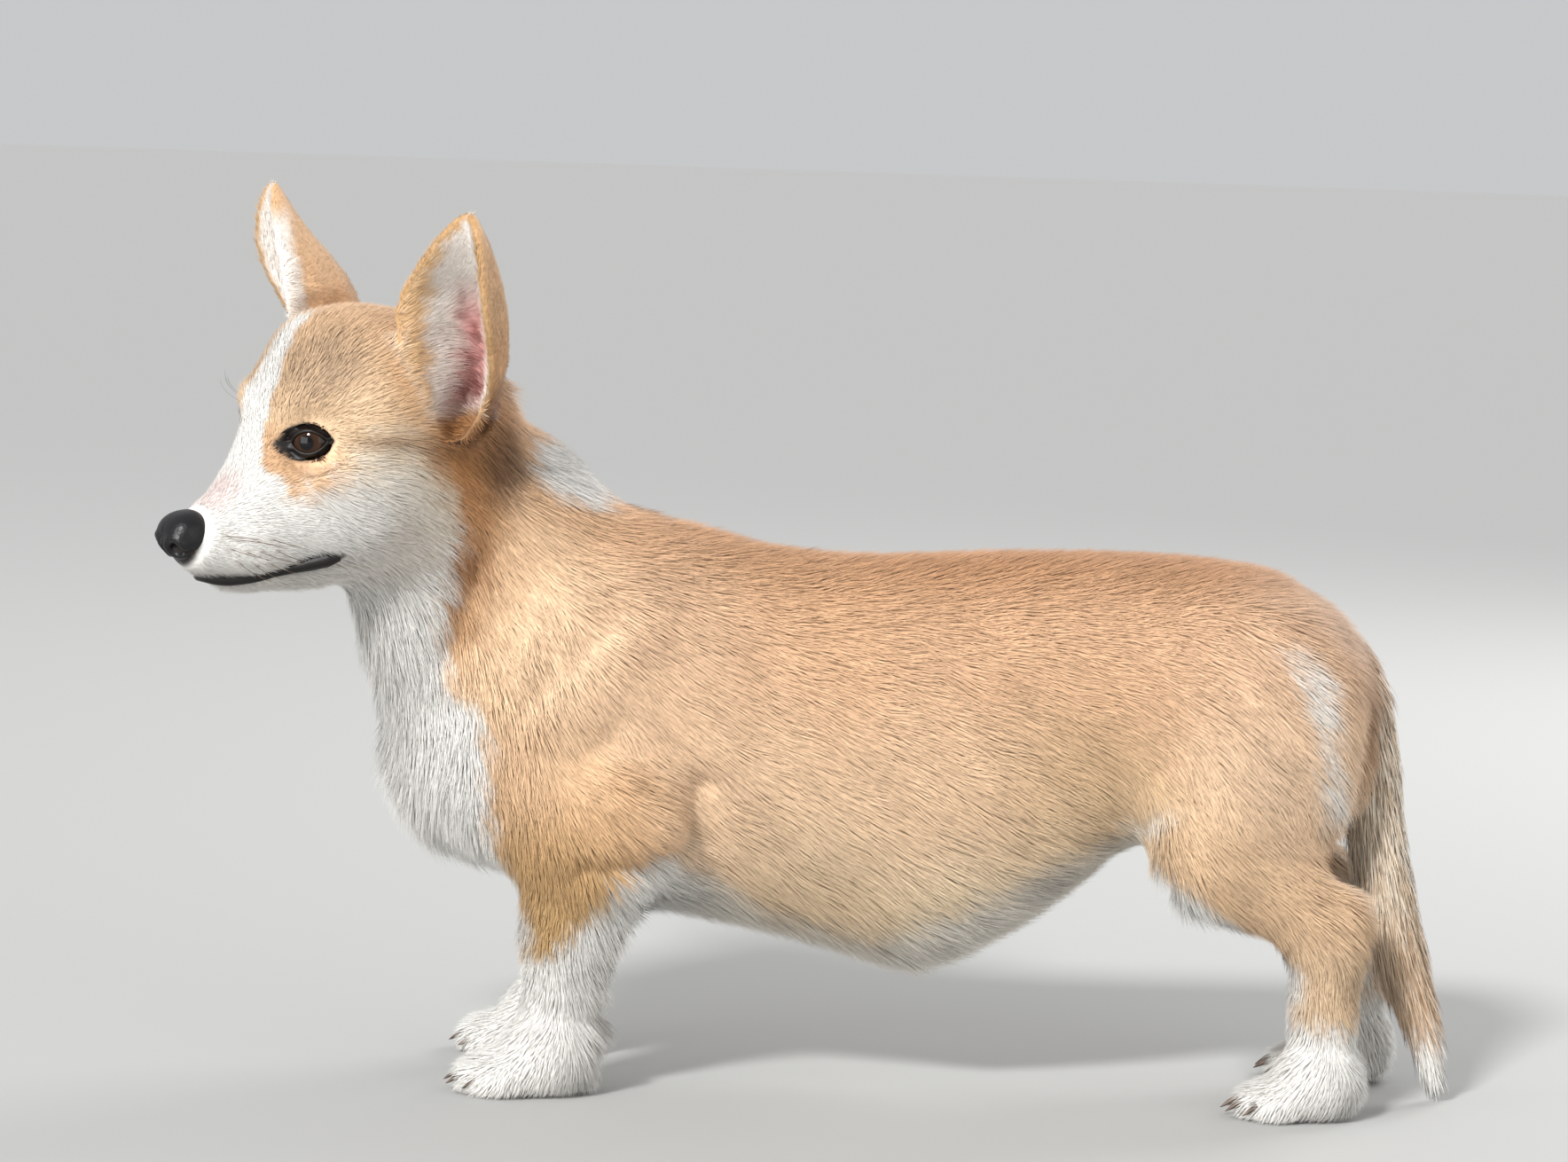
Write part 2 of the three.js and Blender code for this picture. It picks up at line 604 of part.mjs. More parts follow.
// The section of an ear from rim to rim at t along it, as points and the way out at each.
function earSection(curves, t, across) {
  const [a, b, c] = curves.map((line) => line.getPoint(t));
  const bend = b.clone().multiplyScalar(2).addScaledVector(a, -0.5).addScaledVector(c, -0.5);
  const arc = new THREE.QuadraticBezierCurve3(a, bend, c);
  const rise = curves[1].getTangent(t);
  const mouth = a.clone().add(c).multiplyScalar(0.5).sub(b).normalize();
  const points = [];
  for (let j = 0; j <= across; j += 1) {
    const out = new THREE.Vector3().crossVectors(arc.getTangent(j / across), rise).normalize();
    if (j > 0 && j < across && out.dot(mouth) > 0) out.negate();
    points.push([arc.getPoint(j / across), out]);
  }
  for (const j of [0, across]) {
    const next = points[j ? j - 1 : 1][1];
    if (points[j][1].dot(next) < 0) points[j][1].negate();
  }
  return { points, mouth };
}
function ear(side) {
  const curves = earLines(side);
  const rings = [];
  const steps = 11;
  const across = 6;
  for (let i = 0; i <= steps; i += 1) {
    const row = (i / steps) * (EAR.length - 1);
    const low = min(Math.floor(row), EAR.length - 2);
    const thick = EAR[low].thick + (EAR[low + 1].thick - EAR[low].thick) * (row - low);
    const { points } = earSection(curves, i / steps, across);
    const inner = points.map(([p, out]) => p.clone().addScaledVector(out, -0.3));
    const skin = points.map(([p, out], j) =>
      p.clone().addScaledVector(out, thick * (0.35 + 0.65 * sin(PI * j / across) ** 0.5)));
    rings.push([...inner, ...skin.reverse()]);
  }
  return solid(inHead(loft(rings)));
}
// The hollow of an ear, where it goes down into the side of the head.
function concha(side) {
  const curves = earLines(side);
  const rings = [];
  for (let i = 0; i <= 8; i += 1) {
    const t = 0.03 + 0.5 * i / 8;
    const { points, mouth } = earSection(curves, t, 7);
    const wall = points.map(([p, out]) => p.clone().addScaledVector(out, -0.3));
    const [a, c] = [wall[0], wall[wall.length - 1]];
    const cover = [0.75, 0.5, 0.25].map((k) =>
      a.clone().lerp(c, k).addScaledVector(mouth, 14 * sin(PI * k)));
    rings.push([...wall, ...cover]);
  }
  return solid(inHead(loft(rings)));
}
const wholeHead = headForm(0);
const headGrown = headForm(GAP);
let head = wholeHead;
for (const [side, s] of Object.entries(SIDES)) {
  for (const cut of [mouthGroove(s), eyeball(s, GAP), lidOpening(s), concha(side)]) {
    head = head.subtract(cut);
  }
}
head = head.subtract(noseForm(GAP));
const headRegion = region([20, -90, 150], [310, 160, 420], [HEAD_BASE]);
add('head', head.intersect(headRegion), materials.fawn);
let nose = noseForm(0).subtract(philtrum);
for (const cut of nostrils) nose = nose.subtract(cut);
add('nose', nose, materials.leather);
for (const [side, s] of Object.entries(SIDES)) add(`eye_${side}`, eyeball(s, 0), materials.eye);
for (const side of Object.keys(SIDES)) {
  add(`ear_${side}`, ear(side).subtract(headGrown), materials.fawn);
}

// The neck.
const neckLines = [[20, 232], [-80, 118], [100, 304]].map(([from, to]) => lines(from, to, NECK_PITCH));
const neckNet = solid(net(flesh, ...neckLines));
const neckRegion = region([24, -76, 112], [228, 110, 296], [NECK_BASE, against(HEAD_BASE)], -GAP);
add('neck', neckNet.intersect(neckRegion), materials.fawn);

// The trunk.
const trunkLines = [[-282, 200], [-100, 100], [20, 262]].map(([from, to]) => lines(from, to, TRUNK_PITCH));
const trunkNet = (grow) => solid(net(flesh, ...trunkLines, grow));
let torso = trunkNet(0).intersect(region([-278, -96, 24], [196, 96, 258], [against(NECK_BASE)]));
let torsoGrown = trunkNet(GAP);
for (const s of Object.values(SIDES)) {
  torso = torso.subtract(forelimbRegion(s, GAP)).subtract(hindlimbRegion(s, GAP));
  torsoGrown = torsoGrown.subtract(forelimbRegion(s)).subtract(hindlimbRegion(s));
}

// A lock of long hair: flat, tapered and bending along a path of points. Each point has a way
// out from the body, which the flat of the lock faces.
function lock(path, wide, thick) {
  const shape = [[1, 1], [0.9, 0.85], [0.6, 0.55], [0.12, 0.2]];
  const rings = path.map(([at, out], i) => {
    const along = path[min(i + 1, path.length - 1)][0].clone().sub(path[max(i - 1, 0)][0]).normalize();
    const level = new THREE.Vector3().crossVectors(along, out).normalize();
    const flat = new THREE.Vector3().crossVectors(level, along);
    const [w, t] = shape[i];
    return [[1, 0], [0, 1], [-1, 0], [0, -1]].map(([a, b]) =>
      at.clone().addScaledVector(level, a * wide * w / 2).addScaledVector(flat, b * thick * t / 2));
  });
  return solid(loft(rings));
}
// Joins locks to the body they grow from, clear of the torso.
function withLocks(body, locks) {
  let made = body;
  for (const one of locks) made = made.add(one.subtract(torsoGrown));
  return largest(made);
}
// Random draws between -1 and 1 from a fixed start, so that every build is alike.
function draws(start) {
  let state = start;
  return () => {
    state = (state * 16807) % 2147483647;
    return 2 * state / 2147483647 - 1;
  };
}

// The tail: a core of flesh and dense coat, with locks that lie down it and out to its outline.
const tailCurve = new THREE.CatmullRomCurve3(TAIL.map(([x, z]) => new THREE.Vector3(x, 0, z)));
function tailAt(t) {
  const row = min(t, 1) * (TAIL.length - 1);
  const low = min(Math.floor(row), TAIL.length - 2);
  const between = (k) => TAIL[low][k] + (TAIL[low + 1][k] - TAIL[low][k]) * (row - low);
  const rise = tailCurve.getTangent(min(t, 1)).cross(new THREE.Vector3(0, 1, 0));
  return { at: tailCurve.getPoint(min(t, 1)), rise, core: between(2), coat: between(3) };
}
const TAIL_FLAT = 0.86;
const aroundTail = ({ at, rise }, a, radius) => at.clone()
  .add(new THREE.Vector3(0, radius * cos(a), 0)).addScaledVector(rise, TAIL_FLAT * radius * sin(a));
function tailForm(grow) {
  const rings = [];
  const steps = 13;
  const sides = 9;
  for (let i = 0; i <= steps; i += 1) {
    const here = tailAt(i / steps);
    const ring = [];
    for (let j = 0; j < sides; j += 1) ring.push(aroundTail(here, 2 * PI * j / sides, here.core + grow));
    rings.push(ring);
  }
  return solid(loft(rings));
}
const TAIL_LOCKS = { rows: 5, around: 5, first: 0.23, spread: 0.6, reach: 0.16, wide: 10.5, thick: 3 };
function tailLocks() {
  const { rows, around, first, spread, reach, wide, thick } = TAIL_LOCKS;
  const draw = draws(7);
  const locks = [];
  for (let i = 0; i < rows; i += 1) {
    for (let j = 0; j < around; j += 1) {
      const t = first + spread * (i + 0.15 * draw()) / (rows - 1);
      const a = 2 * PI * (j + 0.5 * (i % 2) + 0.12 * draw()) / around;
      const length = reach * (1 + 0.12 * draw());
      const path = [0, 0.35, 0.7, 1].map((k) => {
        const here = tailAt(t + length * k);
        const out = here.coat * (0.35 * k + 0.65 * sqrt(k) * k) + 1.6 * sin(PI * k);
        const at = aroundTail(here, a + 0.12 * k * draw(), (here.core - 2.5) * (1 - k) + out);
        return [at, at.clone().sub(here.at).normalize()];
      });
      locks.push(lock(path, wide * (1.1 - 0.35 * t), thick));
    }
  }
  return locks;
}

// Feathering: locks in a row down the back of a limb. Each grows from the skin at a place across
// the limb and a height, starting the search for the skin at x, and falls back, out and down.
const FORELEG_LOCKS = [
  [34, 55, 100, 20], [34, 46, 93, 20], [30, 56, 86, 19],
  [25, 47, 78, 19], [25, 53, 69, 17], [25, 44, 60, 16],
];
const THIGH_LOCKS = [[-275, 34, 150, 19], [-275, 43, 137, 19], [-275, 36, 124, 17]];
const FEATHER = { wide: 8.5, thick: 2.6, deep: 4, middle: 46 };
function feathering(s, rows) {
  const draw = draws(s > 0 ? 11 : 23);
  return rows.map(([from, y, z, fall]) => {
    let x = from;
    while (flesh(x, s * y, z) > 0) x += 0.5;
    const root = new THREE.Vector3(x + FEATHER.deep, s * y, z + 3);
    const away = y > FEATHER.middle ? s : -s;
    const drift = away * (1 + draw());
    const out = new THREE.Vector3(-0.35, away, 0.2).normalize();
    const path = [0, 0.35, 0.7, 1].map((k) => {
      const sweep = new THREE.Vector3(-0.55 * fall * k ** 0.7, drift * k, -fall * k ** 1.25);
      return [root.clone().add(sweep), out];
    });
    return lock(path, FEATHER.wide, FEATHER.thick);
  });
}

const TAIL_ROOT = [[-236, 0, 187], [-0.62, 0, -0.785]];
const tail = tailForm(0).intersect(region([-320, -60, 1], [-200, 60, 240], [TAIL_ROOT]));
torso = torso.subtract(tailForm(GAP).intersect(region([-320, -60, -5], [-200, 60, 240], [TAIL_ROOT], GAP)));
add('torso', torso, materials.fawn);
add('tail', withLocks(tail, tailLocks()).trimByPlane([0, 0, 1], 3), materials.fawn);

// The legs and paws.
const floor = [[0, 0, 0], [0, 0, 1]];
const limbNet = (...spans) => solid(net(flesh, ...spans.map(([from, to]) => lines(from, to, LIMB_PITCH))));
for (const [side, s] of Object.entries(SIDES)) {
  const across = s > 0 ? [2, 98] : [-98, -2];
  const fore = limbNet([22, 142], across, [14, 172])
    .intersect(forelimbRegion(s))
    .trimByPlane([0, 0, 1], FORE.ankle + GAP);
  add(`foreleg_${side}`, withLocks(fore, feathering(s, FORELEG_LOCKS)), materials.fawn);
  const hind = limbNet([-304, -110], across, [14, 222])
    .intersect(hindlimbRegion(s))
    .trimByPlane([0, 0, 1], HIND.ankle + GAP);
  add(`hindleg_${side}`, withLocks(hind, feathering(s, THIGH_LOCKS)), materials.fawn);
}

// A claw: a short horn that curves down from the tip of its toe.
const CLAW = { radius: 2.3, sunk: 4, reach: 13.5, drop: 4.2 };
function claw(tip, s) {
  const rings = [0, 0.5, 1].map((t) => {
    const radius = CLAW.radius * (1 - t) ** 0.7 + 0.25;
    const along = CLAW.sunk + (CLAW.reach - CLAW.sunk) * t;
    const at = new THREE.Vector3(...tip)
      .add(new THREE.Vector3(along * cos(TOE_OUT), along * sin(TOE_OUT) * s, 1.5 - CLAW.drop * t * t));
    return [0, 1, 2, 3].map((j) =>
      at.clone().add(new THREE.Vector3(0, radius * 0.8 * cos(PI * j / 2), radius * sin(PI * j / 2))));
  });
  return solid(loft(rings));
}
for (const [kind, foot] of Object.entries({ forepaw: FORE, hindpaw: HIND })) {
  for (const [side, s] of Object.entries(SIDES)) {
    const [x, y] = [foot.x + foot.step[side], s * foot.out];
    const spans = [[x - 40, x + 44], [y - 34, y + 34], [-10, foot.ankle + 9]];
    const grid = spans.map(([from, to]) => lines(from, to, PAW_PITCH));
    const box = region([x - 38, y - 32, -8], [x + 42, y + 32, foot.ankle], [floor]);
    add(`${kind}_${side}`, solid(net(flesh, ...grid)).intersect(box), materials.white);
    const grown = solid(net(flesh, ...grid, GAP));
    TOES.forEach((toe, n) => {
      const { tip } = toeLine([x, y, 12], s, foot.size, toe);
      add(`${kind}_${side}_claw_${n + 1}`, claw(tip, s).subtract(grown), materials.claw);
    });
  }
}

export default dog;
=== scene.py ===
# %% [markdown]
# # A young Pembroke Welsh corgi, standing, at life size
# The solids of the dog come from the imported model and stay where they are. Here they are dressed:
# one skin is drawn over all of the flesh, then eyes, lids, lips, nose and claws are set in it,
# and last the coat is grown from it tuft by tuft. Tables of places are in millimetres, and
# everything in Blender is in metres, so each table is multiplied by MM as it is used.

from math import cos, pi, radians, sin

import bmesh
import bpy
import numpy as np
from mathutils import Matrix, Vector
from mathutils.bvhtree import BVHTree


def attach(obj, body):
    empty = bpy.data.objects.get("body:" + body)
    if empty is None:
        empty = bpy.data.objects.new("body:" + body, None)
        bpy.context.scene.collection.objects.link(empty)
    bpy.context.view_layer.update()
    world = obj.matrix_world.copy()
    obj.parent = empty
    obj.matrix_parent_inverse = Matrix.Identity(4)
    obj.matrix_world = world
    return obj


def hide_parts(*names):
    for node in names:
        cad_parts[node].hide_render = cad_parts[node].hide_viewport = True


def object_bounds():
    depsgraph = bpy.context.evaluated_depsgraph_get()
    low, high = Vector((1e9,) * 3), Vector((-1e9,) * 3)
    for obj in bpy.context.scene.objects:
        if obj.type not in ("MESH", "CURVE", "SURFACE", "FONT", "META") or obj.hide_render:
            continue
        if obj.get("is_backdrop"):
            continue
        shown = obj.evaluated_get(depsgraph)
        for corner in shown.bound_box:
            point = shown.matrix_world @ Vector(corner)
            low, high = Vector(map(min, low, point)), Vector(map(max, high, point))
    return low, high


MM = 0.001
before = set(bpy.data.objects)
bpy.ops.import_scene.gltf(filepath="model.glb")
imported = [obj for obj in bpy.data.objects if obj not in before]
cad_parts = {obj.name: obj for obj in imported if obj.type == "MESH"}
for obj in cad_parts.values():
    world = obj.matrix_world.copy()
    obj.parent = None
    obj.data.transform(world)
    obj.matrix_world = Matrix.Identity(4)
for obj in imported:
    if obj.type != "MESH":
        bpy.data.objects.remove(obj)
solids_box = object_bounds()
print("solids' box in mm:", [round(v / MM) for corner in solids_box for v in corner])

# %% [markdown]
# The photograph was taken from the dog's left, a little above its back, with the camera tipped
# down by a few degrees and rolled by about two. A long lens from 2.2 m away gives the same
# nearly flat side view, so the camera is placed by those numbers rather than by eye.

# %% Camera
CAMERA_PLACE = Vector((16.5, 2186, 395.8)) * MM
CAMERA_DIP = radians(4.81)
CAMERA_ROLL = radians(1.9)
CAMERA_LENS = 121.4


def in_scene(made):
    """Links a new object to the scene."""
    bpy.context.scene.collection.objects.link(made)
    return made


camera = in_scene(bpy.data.objects.new("camera", bpy.data.cameras.new("camera")))
camera.data.sensor_width = 36
camera.data.lens = CAMERA_LENS
camera.matrix_world = (
    Matrix.Translation(CAMERA_PLACE)
    @ Matrix.Rotation(pi, 4, "Z")
    @ Matrix.Rotation(radians(90) - CAMERA_DIP, 4, "X")
    @ Matrix.Rotation(CAMERA_ROLL, 4, "Z")
)
bpy.context.scene.camera = camera
print("lens:", camera.data.lens)

# %% [markdown]
# The head is turned and tipped, so its own frame is the best place to think about it. It starts
# at the tip of the nose: f runs forward, l to the dog's left and u up. Places on the head are
# written in that frame and carried over to the frame of the body by one matrix.

# %% The head's frame
NOSE_TIP = np.array([266.0, 76.0, 229.6])
HEAD_YAW, HEAD_DIP, HEAD_TIP = radians(35), radians(8), radians(-2.5)


def head_axes():
    """The head's forward, left and up directions, as the columns of a matrix."""
    forward = Vector((cos(HEAD_YAW) * cos(HEAD_DIP), sin(HEAD_YAW) * cos(HEAD_DIP), -sin(HEAD_DIP)))
    level = Vector((-sin(HEAD_YAW), cos(HEAD_YAW), 0))
    left = Matrix.Rotation(HEAD_TIP, 3, forward) @ level
    return np.array([forward, left, forward.cross(left)]).T


HEAD_AXES = head_axes()


def from_head(places):
    """Places in the head's frame, carried over to the body's frame. Both are in millimetres."""
    return np.atleast_2d(places) @ HEAD_AXES.T + NOSE_TIP


def to_head(places):
    """Places in the body's frame, carried over to the head's frame."""
    return (np.atleast_2d(places) - NOSE_TIP) @ HEAD_AXES


def unit(rows):
    """Rows scaled to length 1."""
    return rows / np.maximum(np.linalg.norm(rows, axis=1, keepdims=True), 1e-9)


print("crown of the head in mm:", np.round(from_head([-82, 0, 80])[0]))

# %% [markdown]
# A real dog has one skin with no seams. Copies of the flesh solids are swollen a little so that
# they overlap, joined, and turned into one closed surface by a voxel remesh, as wet clay would
# be pressed together. The tail is drawn as a tapering tube, because its solid carries locks of
# hair and the skin must lie under them. Locks on the legs are tucked back into the leg first.
# A copy of the nose, a little smaller, closes the socket that the nose sits in.

# %% Gather the flesh
FLESH = [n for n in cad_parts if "claw" not in n and not n.startswith(("eye", "nose", "tail"))]
SWELL, NOSE_SWELL = 0.4, -0.3
# The back edge of each limb without its locks, as rows of height and x. The right hind leg
# stands a little further back than these rows.
BACK_EDGE = {
    "foreleg": [(42, 83), (66, 74), (100, 66), (103, -400)],
    "hindleg": [(98, -232), (104, -218), (125, -221), (158, -226), (200, -232)],
}
HIND_STEP = {"left": 0, "right": -7}
HOCK_HEIGHT = 98
# The middle of the tail as rows of x, height and radius. The dog's middle plane lies at this y.
TAIL_CORE = [
    (-197, 201, 15), (-215.5, 190, 14), (-226, 170, 10.5), (-229.5, 150, 8.5), (-232, 128, 8),
    (-236.5, 104, 8), (-241, 82, 8), (-247.5, 60, 6), (-255.5, 38, 3.5), (-260, 22, 2),
]
TAIL_SIDE = -14


def only(*objects):
    """Selects these objects and nothing else, with the first one active."""
    bpy.ops.object.select_all(action="DESELECT")
    for one in objects:
        one.select_set(True)
    bpy.context.view_layer.objects.active = objects[0]


def copy_of(node, swell):
    """A copy of a solid with its doubles merged, swollen along its normals by some millimetres."""
    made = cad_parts[node].copy()
    made.data = made.data.copy()
    made.parent = None
    in_scene(made)
    shape = bmesh.new()
    shape.from_mesh(made.data)
    bmesh.ops.remove_doubles(shape, verts=shape.verts, dist=1e-6)
    shape.normal_update()
    for vertex in shape.verts:
        vertex.co += vertex.normal * swell * MM
    shape.to_mesh(made.data)
    shape.free()
    return made


def numbers_of(items, what, width, kind=np.float32):
    """What the vertices, edges or faces of a mesh hold, as rows of so many numbers."""
    flat = np.empty(len(items) * width, kind)
    items.foreach_get(what, flat)
    return flat.reshape(-1, width)


def points_of(piece):
    """The places of a mesh's vertices, as rows of metres."""
    return numbers_of(piece.data.vertices, "co", 3).astype(float)


def triangles_of(piece):
    """The vertex numbers of each triangle of a mesh."""
    return numbers_of(piece.data.polygons, "vertices", 3, np.int32)


def place_points(piece, points):
    """Moves a mesh's vertices to these places."""
    piece.data.vertices.foreach_set("co", np.ascontiguousarray(points, np.float32).ravel())
    piece.data.update()


def tuck_locks(piece, node):
    """Brings whatever stands out behind a limb back to the limb's own edge."""
    kind, side = node.split("_")
    heights, edge = zip(*BACK_EDGE[kind])
    points = points_of(piece) / MM
    limit = np.interp(points[:, 2], heights, edge)
    if kind == "hindleg":
        limit = np.where(points[:, 2] > HOCK_HEIGHT, limit + HIND_STEP[side], -1e3)
    points[:, 0] = np.maximum(points[:, 0], limit)
    place_points(piece, points * MM)


def tube(name, path, radii, rounding):
    """A closed tube along a path of places in metres, with a radius in millimetres at each."""
    line = bpy.data.curves.new(name, "CURVE")
    line.dimensions = "3D"
    line.bevel_depth = MM
    line.bevel_resolution = rounding
    line.use_fill_caps = True
    spline = line.splines.new("POLY")
    spline.points.add(len(path) - 1)
    for point, place, radius in zip(spline.points, path, radii):
        point.co = (*place, 1)
        point.radius = radius
    made = in_scene(bpy.data.objects.new(name, line))
    only(made)
    bpy.ops.object.convert(target="MESH")
    return made


flesh = []
for node in FLESH:
    piece = copy_of(node, SWELL)
    if node.split("_")[0] in BACK_EDGE:
        tuck_locks(piece, node)
    flesh.append(piece)
tail_path = [(x * MM, TAIL_SIDE * MM, z * MM) for x, z, _ in TAIL_CORE]
flesh.append(tube("tail_core", tail_path, [radius for *_, radius in TAIL_CORE], rounding=4))
flesh.append(copy_of("nose", NOSE_SWELL))
print("pieces of flesh:", len(flesh))

# %% [markdown]
# The lie of a coat can be told by a few strokes: at a place on the body, which way the hair
# runs, how deep the coat is there, and how long its tufts are. Every other place takes a
# mixture of the strokes near it. The same table tells how far the skin lies under the solids.

# %% Strokes: the lie of the coat
# Strokes behind this x, on the right, go with the hind leg that stands further back.
HIND_START = -140
# Each stroke: place, way, depth of the coat, length of a tuft, and reach of the stroke. Those
# of the body are told for the left, with y from the middle plane, and hold for both sides.
BODY_STROKES = [
    ((80, 0, 232), (-1, 0, -0.25), 6, 14, 34),
    ((20, 0, 230), (-1, 0, -0.02), 5, 12, 36),
    ((-50, 0, 228), (-1, 0, 0), 4.5, 12, 36),
    ((-120, 0, 229), (-1, 0, 0), 4.5, 12, 36),
    ((-180, 0, 225), (-1, 0, -0.3), 5, 13, 30),
    ((-222, 10, 200), (-0.6, 0, -1), 6, 15, 26),
    ((60, 58, 185), (-1, 0, -0.7), 5, 13, 34),
    ((0, 58, 185), (-1, 0, -0.38), 5, 12.5, 36),
    ((-60, 60, 185), (-1, 0, -0.3), 4.5, 12, 36),
    ((-120, 58, 185), (-1, 0, -0.3), 4.5, 12, 36),
    ((-180, 54, 190), (-1, 0, -0.75), 5, 13, 32),
    ((10, 60, 130), (-1, 0, -0.45), 6, 14, 36),
    ((-50, 60, 125), (-1, 0, -0.45), 6, 14, 36),
    ((-110, 58, 125), (-1, 0, -0.55), 6, 14, 32),
    ((-148, 52, 108), (-0.8, 0, -0.8), 6, 14, 22),
    ((30, 45, 88), (-1, 0, -0.45), 8, 19, 26),
    ((-20, 45, 74), (-1, 0, -0.5), 8, 20, 30),
    ((-60, 40, 66), (-1, 0, -0.55), 8, 20, 28),
    ((-95, 35, 84), (-1, 0, -0.1), 7, 18, 26),
    ((60, 0, 80), (-1, 0, 0), 7, 15, 30),
    ((-10, 0, 66), (-1, 0, -0.1), 7, 16, 34),
    ((-80, 0, 70), (-1, 0, 0.2), 6, 15, 32),
    ((-130, 0, 105), (-1, 0, 0.4), 5, 12, 28),
    ((96, 52, 178), (-0.75, 0, -1), 6, 15, 28),
    ((112, 50, 140), (-0.5, 0, -1), 6, 14, 24),
    ((82, 58, 125), (-0.9, 0, -0.8), 5.5, 13, 20),
    ((70, 61, 114), (-1, 0.1, -0.5), 6, 16, 13),
    ((112, 50, 95), (-0.15, 0.1, -1), 5, 10, 20),
    ((108, 48, 62), (-0.1, 0.1, -1), 4.5, 9, 18),
    ((76, 50, 84), (-0.75, 0.15, -1), 7.5, 19, 15),
    ((84, 50, 56), (-0.8, 0.2, -1), 9, 21, 13),
    ((88, 46, 40), (-0.9, 0.1, -0.8), 9, 19, 9),
    ((92, 30, 60), (-0.3, -0.1, -1), 5, 11, 14),
    ((108, 46, 38), (0.15, 0.1, -1), 3.5, 8, 13),
    ((90, 46, 26), (-0.7, 0, -1), 5, 12, 10),
    ((118, 46, 30), (0.9, 0, -0.8), 3.4, 8, 11),
    ((134, 46, 14), (1, 0, -0.9), 3.2, 7, 11),
    ((110, 64, 12), (0.5, 0.3, -1), 3.2, 7, 10),
    ((110, 28, 12), (0.5, -0.3, -1), 3.2, 7, 10),
    ((-185, 60, 150), (-0.7, 0, -1), 5.5, 13, 32),
    ((-150, 58, 128), (-0.6, 0, -1), 5.5, 13, 22),
    ((-168, 56, 98), (-0.9, 0, -0.75), 5.5, 13, 18),
    ((-200, 56, 100), (-0.9, 0, -0.8), 5.5, 13, 20),
    ((-222, 45, 150), (-0.5, -0.1, -1), 7.5, 19, 22),
    ((-215, 45, 118), (-0.5, 0, -1), 7, 18, 16),
    ((-222, 50, 84), (-0.6, 0, -1), 5, 11, 14),
    ((-212, 46, 56), (-0.1, 0, -1), 3.5, 9, 16),
    ((-226, 46, 40), (-0.3, 0, -1), 4, 10, 12),
    ((-195, 47, 28), (0.9, 0, -0.8), 3.4, 8, 11),
    ((-182, 47, 12), (1, 0, -0.9), 3.2, 7, 11),
    ((-205, 64, 12), (0.5, 0.3, -1), 3.2, 7, 10),
    ((-205, 30, 12), (0.5, -0.3, -1), 3.2, 7, 10),
    ((-215, 20, 130), (-0.4, -0.2, -1), 6, 14, 22),
]
# The chest and neck are not the same on both sides, because the neck bends to the left.
NECK_STROKES = [
    ((150, -10, 120), (-0.3, 0, -1), 8, 18, 26),
    ((130, -14, 95), (-0.9, 0, -0.7), 8, 18, 26),
    ((176, 0, 150), (0.05, 0, -1), 9, 20, 24),
    ((160, 36, 150), (-0.4, 0.1, -1), 8, 18, 22),
    ((160, -48, 150), (-0.4, -0.2, -1), 8, 18, 24),
    ((186, 16, 188), (-0.15, 0, -1), 8, 18, 24),
    ((165, 40, 195), (-0.35, 0.1, -1), 7, 16, 22),
    ((140, 42, 225), (-0.6, 0.2, -1), 7, 17, 20),
    ((118, 44, 200), (-0.8, 0, -1), 6.5, 16, 24),
    ((128, 34, 250), (-0.8, 0, -0.9), 6, 14, 20),
    ((100, 40, 225), (-1, 0, -0.8), 6, 15, 24),
    ((110, 5, 262), (-0.9, 0, -0.7), 6, 14, 22),
    ((90, -20, 240), (-1, 0, -0.6), 6, 14, 24),
    ((128, -38, 240), (-0.8, -0.3, -0.8), 6, 15, 24),
    ((110, -54, 200), (-0.8, -0.1, -1), 6.5, 16, 28),
    ((165, -40, 215), (-0.5, -0.3, -1), 7, 16, 24),
    ((186, -14, 215), (-0.4, -0.2, -1), 7, 15, 20),
]
